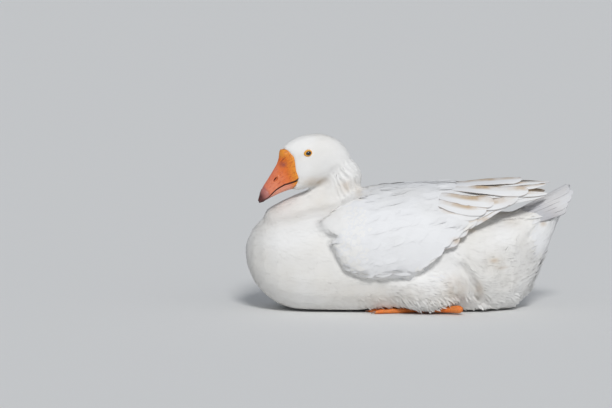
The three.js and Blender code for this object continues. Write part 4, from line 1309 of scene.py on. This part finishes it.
EYE_RADIUS = 6.6
EYE_SINK = 5.6  # its centre lies this far in from the place of the eye
CORNEA = (0.55, 4.4)  # how far it stands out, and its radius
OPENING = (4.5, 3.6)  # half length and half height between the lids
LID_OUTSIDE = (6.8, 5.0)
EYE_TILT = radians(-18)  # of the opening, its rear end down from the head's level line
LID_CORNER = 1.75  # below 2 the opening has corners at its front and rear
# The lid's section: share of the way from the opening to the outside, and lift over the ball.
LID_SECTION = [(-0.25, -0.5), (-0.02, 0.3), (0.12, 0.75), (0.3, 0.95), (0.5, 0.85), (0.72, 0.5), (1.0, 0.0),
               (1.25, -1.4), (1.0, -2.4), (0.4, -2.4)]


def eye_frame(side):
    """The frame of an eye: Z outwards, Y up, and X rearwards on the left, forward on the right."""
    sideways, ahead, up = EYE_AT
    centre = Vector((side * (sideways - EYE_SINK), -ahead, up)) * MM
    axes = Matrix(((0, 0, side, 0), (side, 0, 0, 0), (0, 1, 0, 0), (0, 0, 0, 1)))
    return HEAD_FRAME @ Matrix.Translation(centre) @ axes @ Matrix.Rotation(side * EYE_TILT, 4, "Z")


def eyeball_rings():
    polar = np.linspace(0.02, 2.4, 60)[:, None]
    turn = once_round(64)[None]
    away = EYE_RADIUS * np.sin(polar)
    cornea = CORNEA[0] * np.clip(1 - (away / CORNEA[1]) ** 2, 0, None) * (polar < pi / 2)
    return together(away * np.cos(turn), away * np.sin(turn), EYE_RADIUS * np.cos(polar) + cornea) * MM


def lid_rings(side):
    """A soft rounded rim round the opening: its section runs from the ball, over the lip, into the skin."""
    turn = once_round(120)[:, None]
    c, s = np.cos(turn), np.sin(turn)
    almond = (np.abs(c) ** LID_CORNER + np.abs(s) ** LID_CORNER) ** (-1 / LID_CORNER)
    wide = 1 + 0.12 * np.maximum(s, 0) - 0.1 * np.maximum(c, 0)  # thicker above and in front
    share, lift = np.array(LID_SECTION).T[:, None]
    sizes = zip(OPENING, LID_OUTSIDE, (c, s))
    across, up = ((inner + (outer * wide - inner) * share) * almond * way for inner, outer, way in sizes)
    rim = np.hypot(OPENING[0] * almond * c, OPENING[1] * almond * s)
    ball = np.sqrt(np.maximum(EYE_RADIUS**2 - rim**2, 0))
    folds = 0.1 * np.cos(26 * turn) * hump(share, 0.6, 0.3)
    return together(side * across, up, ball + lift + folds) * MM


def eye_material():
    m = Nodes("eye")
    flat = m.node("ShaderNodeCombineXYZ", {"X": m.axis("X"), "Y": m.axis("Y")}).outputs[0]
    away = m.times(m.node("ShaderNodeVectorMath", {0: flat}, operation="LENGTH").outputs["Value"], 1 / MM)
    iris = m.mix(m.range(m.axis("Y"), -0.004, 0.001, 1.0, 0.0), (0.012, 0.018, 0.045), (0.10, 0.045, 0.02))
    iris = m.mix(m.range(m.noise(900, 4), 0.4, 0.7), iris, (0.03, 0.05, 0.11))
    m.colour = m.mix(m.range(away, 2.3, 2.6), (0.002, 0.002, 0.003), iris)
    m.paint(m.range(away, 4.0, 4.5), (0.012, 0.008, 0.008))
    return m.finish(Roughness=0.08, Coat_Weight=1.0, Coat_Roughness=0.02)


def lid_material():
    m = Nodes("eyelid")
    m.colour = m.mix(m.range(m.noise(500, 4), 0.35, 0.65), (0.88, 0.47, 0.05), (0.80, 0.32, 0.03))
    m.bump(m.noise(1400, 3), 0.3, 0.0003)
    return m.finish(Roughness=0.5, Subsurface_Weight=0.1, Subsurface_Scale=0.002)


EYE, LID = eye_material(), lid_material()
for side_name, side in SIDES.items():
    at_eye = ("eye", ["eye_" + side_name], eye_frame(side))
    closed_piece("eyeball_" + side_name, [eyeball_rings()], EYE, *at_eye)
    closed_piece("eyelid_" + side_name, [lid_rings(side)], LID, *at_eye, hoop=True)

# ---------------------------------------------------------------- legs

# In millimetres, for the left leg; the right one mirrors it.
HOCK, ANKLE, SHANK_RADIUS = np.array([90, 97, 9]), np.array([64, 26, 7]), 6.3
SHANK_LENGTH = 76
SHANK_PLUMPNESS = profile([(0, 0.55), (0.08, 1.0), (0.3, 0.86), (0.8, 0.84), (0.95, 1.0), (1, 0.7)])
FOOT_AT, FOOT_YAW = np.array([62, 24, 0]), radians(4)
TOES = [(62, -17), (76, 0), (68, 17)]  # length and turn in degrees
HIND_TOE = (16, 160)
TOE_RADIUS, THICKEST_TOE = 4.2, 5.4
TOE_TAPER = profile([(0, 1.15), (0.6, 0.86), (0.93, 0.72), (1, 0.35)])
KNUCKLES = (0.3, 0.58, 0.82)
CLAW_LENGTH, CLAW_RADIUS = 9, 2.3
WEB_REACH, WEB_DIP = 0.94, 0.86  # share of a toe's length, and how much of it is left between two toes
WEB_TOP, WEB_BOTTOM = 2.6, 1.2
SHANK_SCALES, TOE_SCALES = (3.4, 0.32), (2.6, 0.25)  # how far apart their grooves are, and how deep


def scaled_radii(along, radius, pitch, deep):
    """Radii along a toe or shank with a groove between each scale and the next."""
    return radius - deep * np.exp(-((np.mod(along / pitch, 1) - 0.5) / 0.16) ** 2)


def shank_rings(side):
    s = np.linspace(0, 1, 70)
    path = (HOCK + (ANKLE - HOCK) * s[:, None]) * [side, 1, 1]
    return tube(path, scaled_radii(s * SHANK_LENGTH, SHANK_RADIUS * SHANK_PLUMPNESS(s), *SHANK_SCALES), 20)


def toe_point(side, length, turn, along):
    """Places on a toe's line, in millimetres: (x, y)."""
    angle = side * (radians(turn) - FOOT_YAW)
    return side * FOOT_AT[0] + np.sin(angle) * length * along, FOOT_AT[1] - np.cos(angle) * length * along


def toe_rings(side, length, turn):
    s = np.linspace(0, 1, 60)
    knuckles = 1 + 0.16 * sum(hump(s, k, 0.07) for k in KNUCKLES)
    radii = scaled_radii(s * length, TOE_RADIUS * TOE_TAPER(s) * knuckles, *TOE_SCALES)
    radii = np.minimum(radii, THICKEST_TOE)
    height = np.maximum(radii * 0.92, 2.2) + 0.4
    return tube(together(*toe_point(side, length, turn, s), height), radii, 16, 0.9)


def claw_rings(side, length, turn):
    s = np.linspace(0, 1, 24)
    height = 2.6 + 1.4 * np.sin(s * pi) - 1.6 * s
    path = together(*toe_point(side, length, turn, 0.95 + s * CLAW_LENGTH / length), height)
    return tube(path, CLAW_RADIUS * (1 - s) ** 0.6 + 0.15, 14, 0.8)


def web_rings(side, one, other):
    """The web between two toes, as rings from its root to its scalloped front edge."""
    t, v = np.linspace(0.06, 1, 34)[:, None], np.linspace(0, 1, 24)[None]
    root = (side * FOOT_AT[0], FOOT_AT[1])
    reach = t * WEB_REACH * (1 - (1 - WEB_DIP) * 2 * v * (1 - v) * 2 * t)
    ends = zip(root, toe_point(side, *one, 1.0), toe_point(side, *other, 1.0))
    px, py = (r + reach * ((a - r) * (1 - v) + (b - r) * v) for r, a, b in ends)
    pleat = 0.5 * np.sin(v * pi * 5 + 3 * t) * t
    return shell(together(px, py, WEB_TOP + pleat), together(px, py, WEB_BOTTOM + pleat)) * MM


def leg_material(name, cells_per_metre):
    m = Nodes(name)
    cells = m.node("ShaderNodeTexVoronoi", {"Vector": m.coords(), "Scale": cells_per_metre})
    cells = cells.outputs["Distance"]
    m.colour = m.mix(m.range(m.noise(60, 3), 0.35, 0.65), (0.84, 0.19, 0.02), (0.76, 0.26, 0.06))
    m.paint(m.range(cells, 0.45, 0.75, 0, 0.4), (0.42, 0.12, 0.03))
    m.bump(m.range(cells, 0.3, 0.7, 1.0, 0.0), 0.6, 0.0005)
    return m.finish(Roughness=0.55, Subsurface_Weight=0.06, Subsurface_Scale=0.003)


def claw_material():
    m = Nodes("claw")
    m.colour = m.mix(m.range(m.noise(300, 3), 0.4, 0.6), (0.36, 0.20, 0.14), (0.22, 0.12, 0.09))
    m.bump(m.noise(800, 2), 0.2, 0.0002)
    return m.finish(Roughness=0.35, Specular_IOR_Level=0.5)


SCALES, WEBS, CLAWS = leg_material("leg_scales", 420.0), leg_material("webs", 620.0), claw_material()
for side_name, side in SIDES.items():
    toes = [*TOES, HIND_TOE]
    for part, lofts, material, node in (
        ("leg", [shank_rings(side)], SCALES, "shank"),
        ("toes", [toe_rings(side, *toe) for toe in toes], SCALES, "foot"),
        ("web", [web_rings(side, *pair) for pair in zip(TOES, TOES[1:])], WEBS, "foot"),
        ("claws", [claw_rings(side, *toe) for toe in toes], CLAWS, "foot"),
    ):
        closed_piece(f"{part}_{side_name}", lofts, material, "foot_skin", [f"{node}_{side_name}"])

# ---------------------------------------------------------------- camera, floor and light

PHOTO_WIDTH = 612
METRES_PER_PIXEL = 0.0016
CAMERA_DISTANCE = 6.0
CAMERA_ELEVATION = radians(6)
CAMERA_AIM = Vector((0, -0.1504, 0.1673))
FLOOR_SIZE = 40.0
FLOOR_COLOUR = (0.78, 0.78, 0.77)
# Where each sun's light comes from, its strength and how wide it looks, in degrees.
SUNS = {"key": ((0.88, 0.12, 0.74), 1.85, 14), "fill": ((0.7, 0.7, 0.6), 0.2, 60)}
SKY = {"Color": (0.82, 0.87, 0.95, 1), "Strength": 0.36}


def looking_from(way):
    return Vector(way).to_track_quat("Z", "Y").to_euler()


def build_stage():
    scene = bpy.context.scene
    camera = bpy.data.objects.new("camera", bpy.data.cameras.new("camera"))
    scene.collection.objects.link(camera)
    camera.data.lens = camera.data.sensor_width * CAMERA_DISTANCE / (PHOTO_WIDTH * METRES_PER_PIXEL)
    away = Vector((cos(CAMERA_ELEVATION), 0, sin(CAMERA_ELEVATION)))
    camera.location = CAMERA_AIM + away * CAMERA_DISTANCE
    camera.rotation_euler = looking_from(away)
    camera.data.clip_end = 200
    scene.camera = camera
    corners = [(px * FLOOR_SIZE, py * FLOOR_SIZE, 0) for px, py in ((-1, -1), (1, -1), (1, 1), (-1, 1))]
    floor = Nodes("floor").finish(Base_Color=FLOOR_COLOUR, Roughness=0.9, Specular_IOR_Level=0.1)
    place("floor", smooth_mesh("floor", corners, [[0, 1, 2, 3]]), floor)
    for name, (way, strength, degrees) in SUNS.items():
        light = bpy.data.lights.new(name, "SUN")
        light.energy = strength
        light.angle = radians(degrees)
        lamp = bpy.data.objects.new(name, light)
        lamp.rotation_euler = looking_from(way)
        scene.collection.objects.link(lamp)
    world = bpy.data.worlds.new("studio")
    world.use_nodes = True
    for key, value in SKY.items():
        world.node_tree.nodes["Background"].inputs[key].default_value = value
    scene.world = world
    scene.view_settings.view_transform = "Standard"


build_stage()
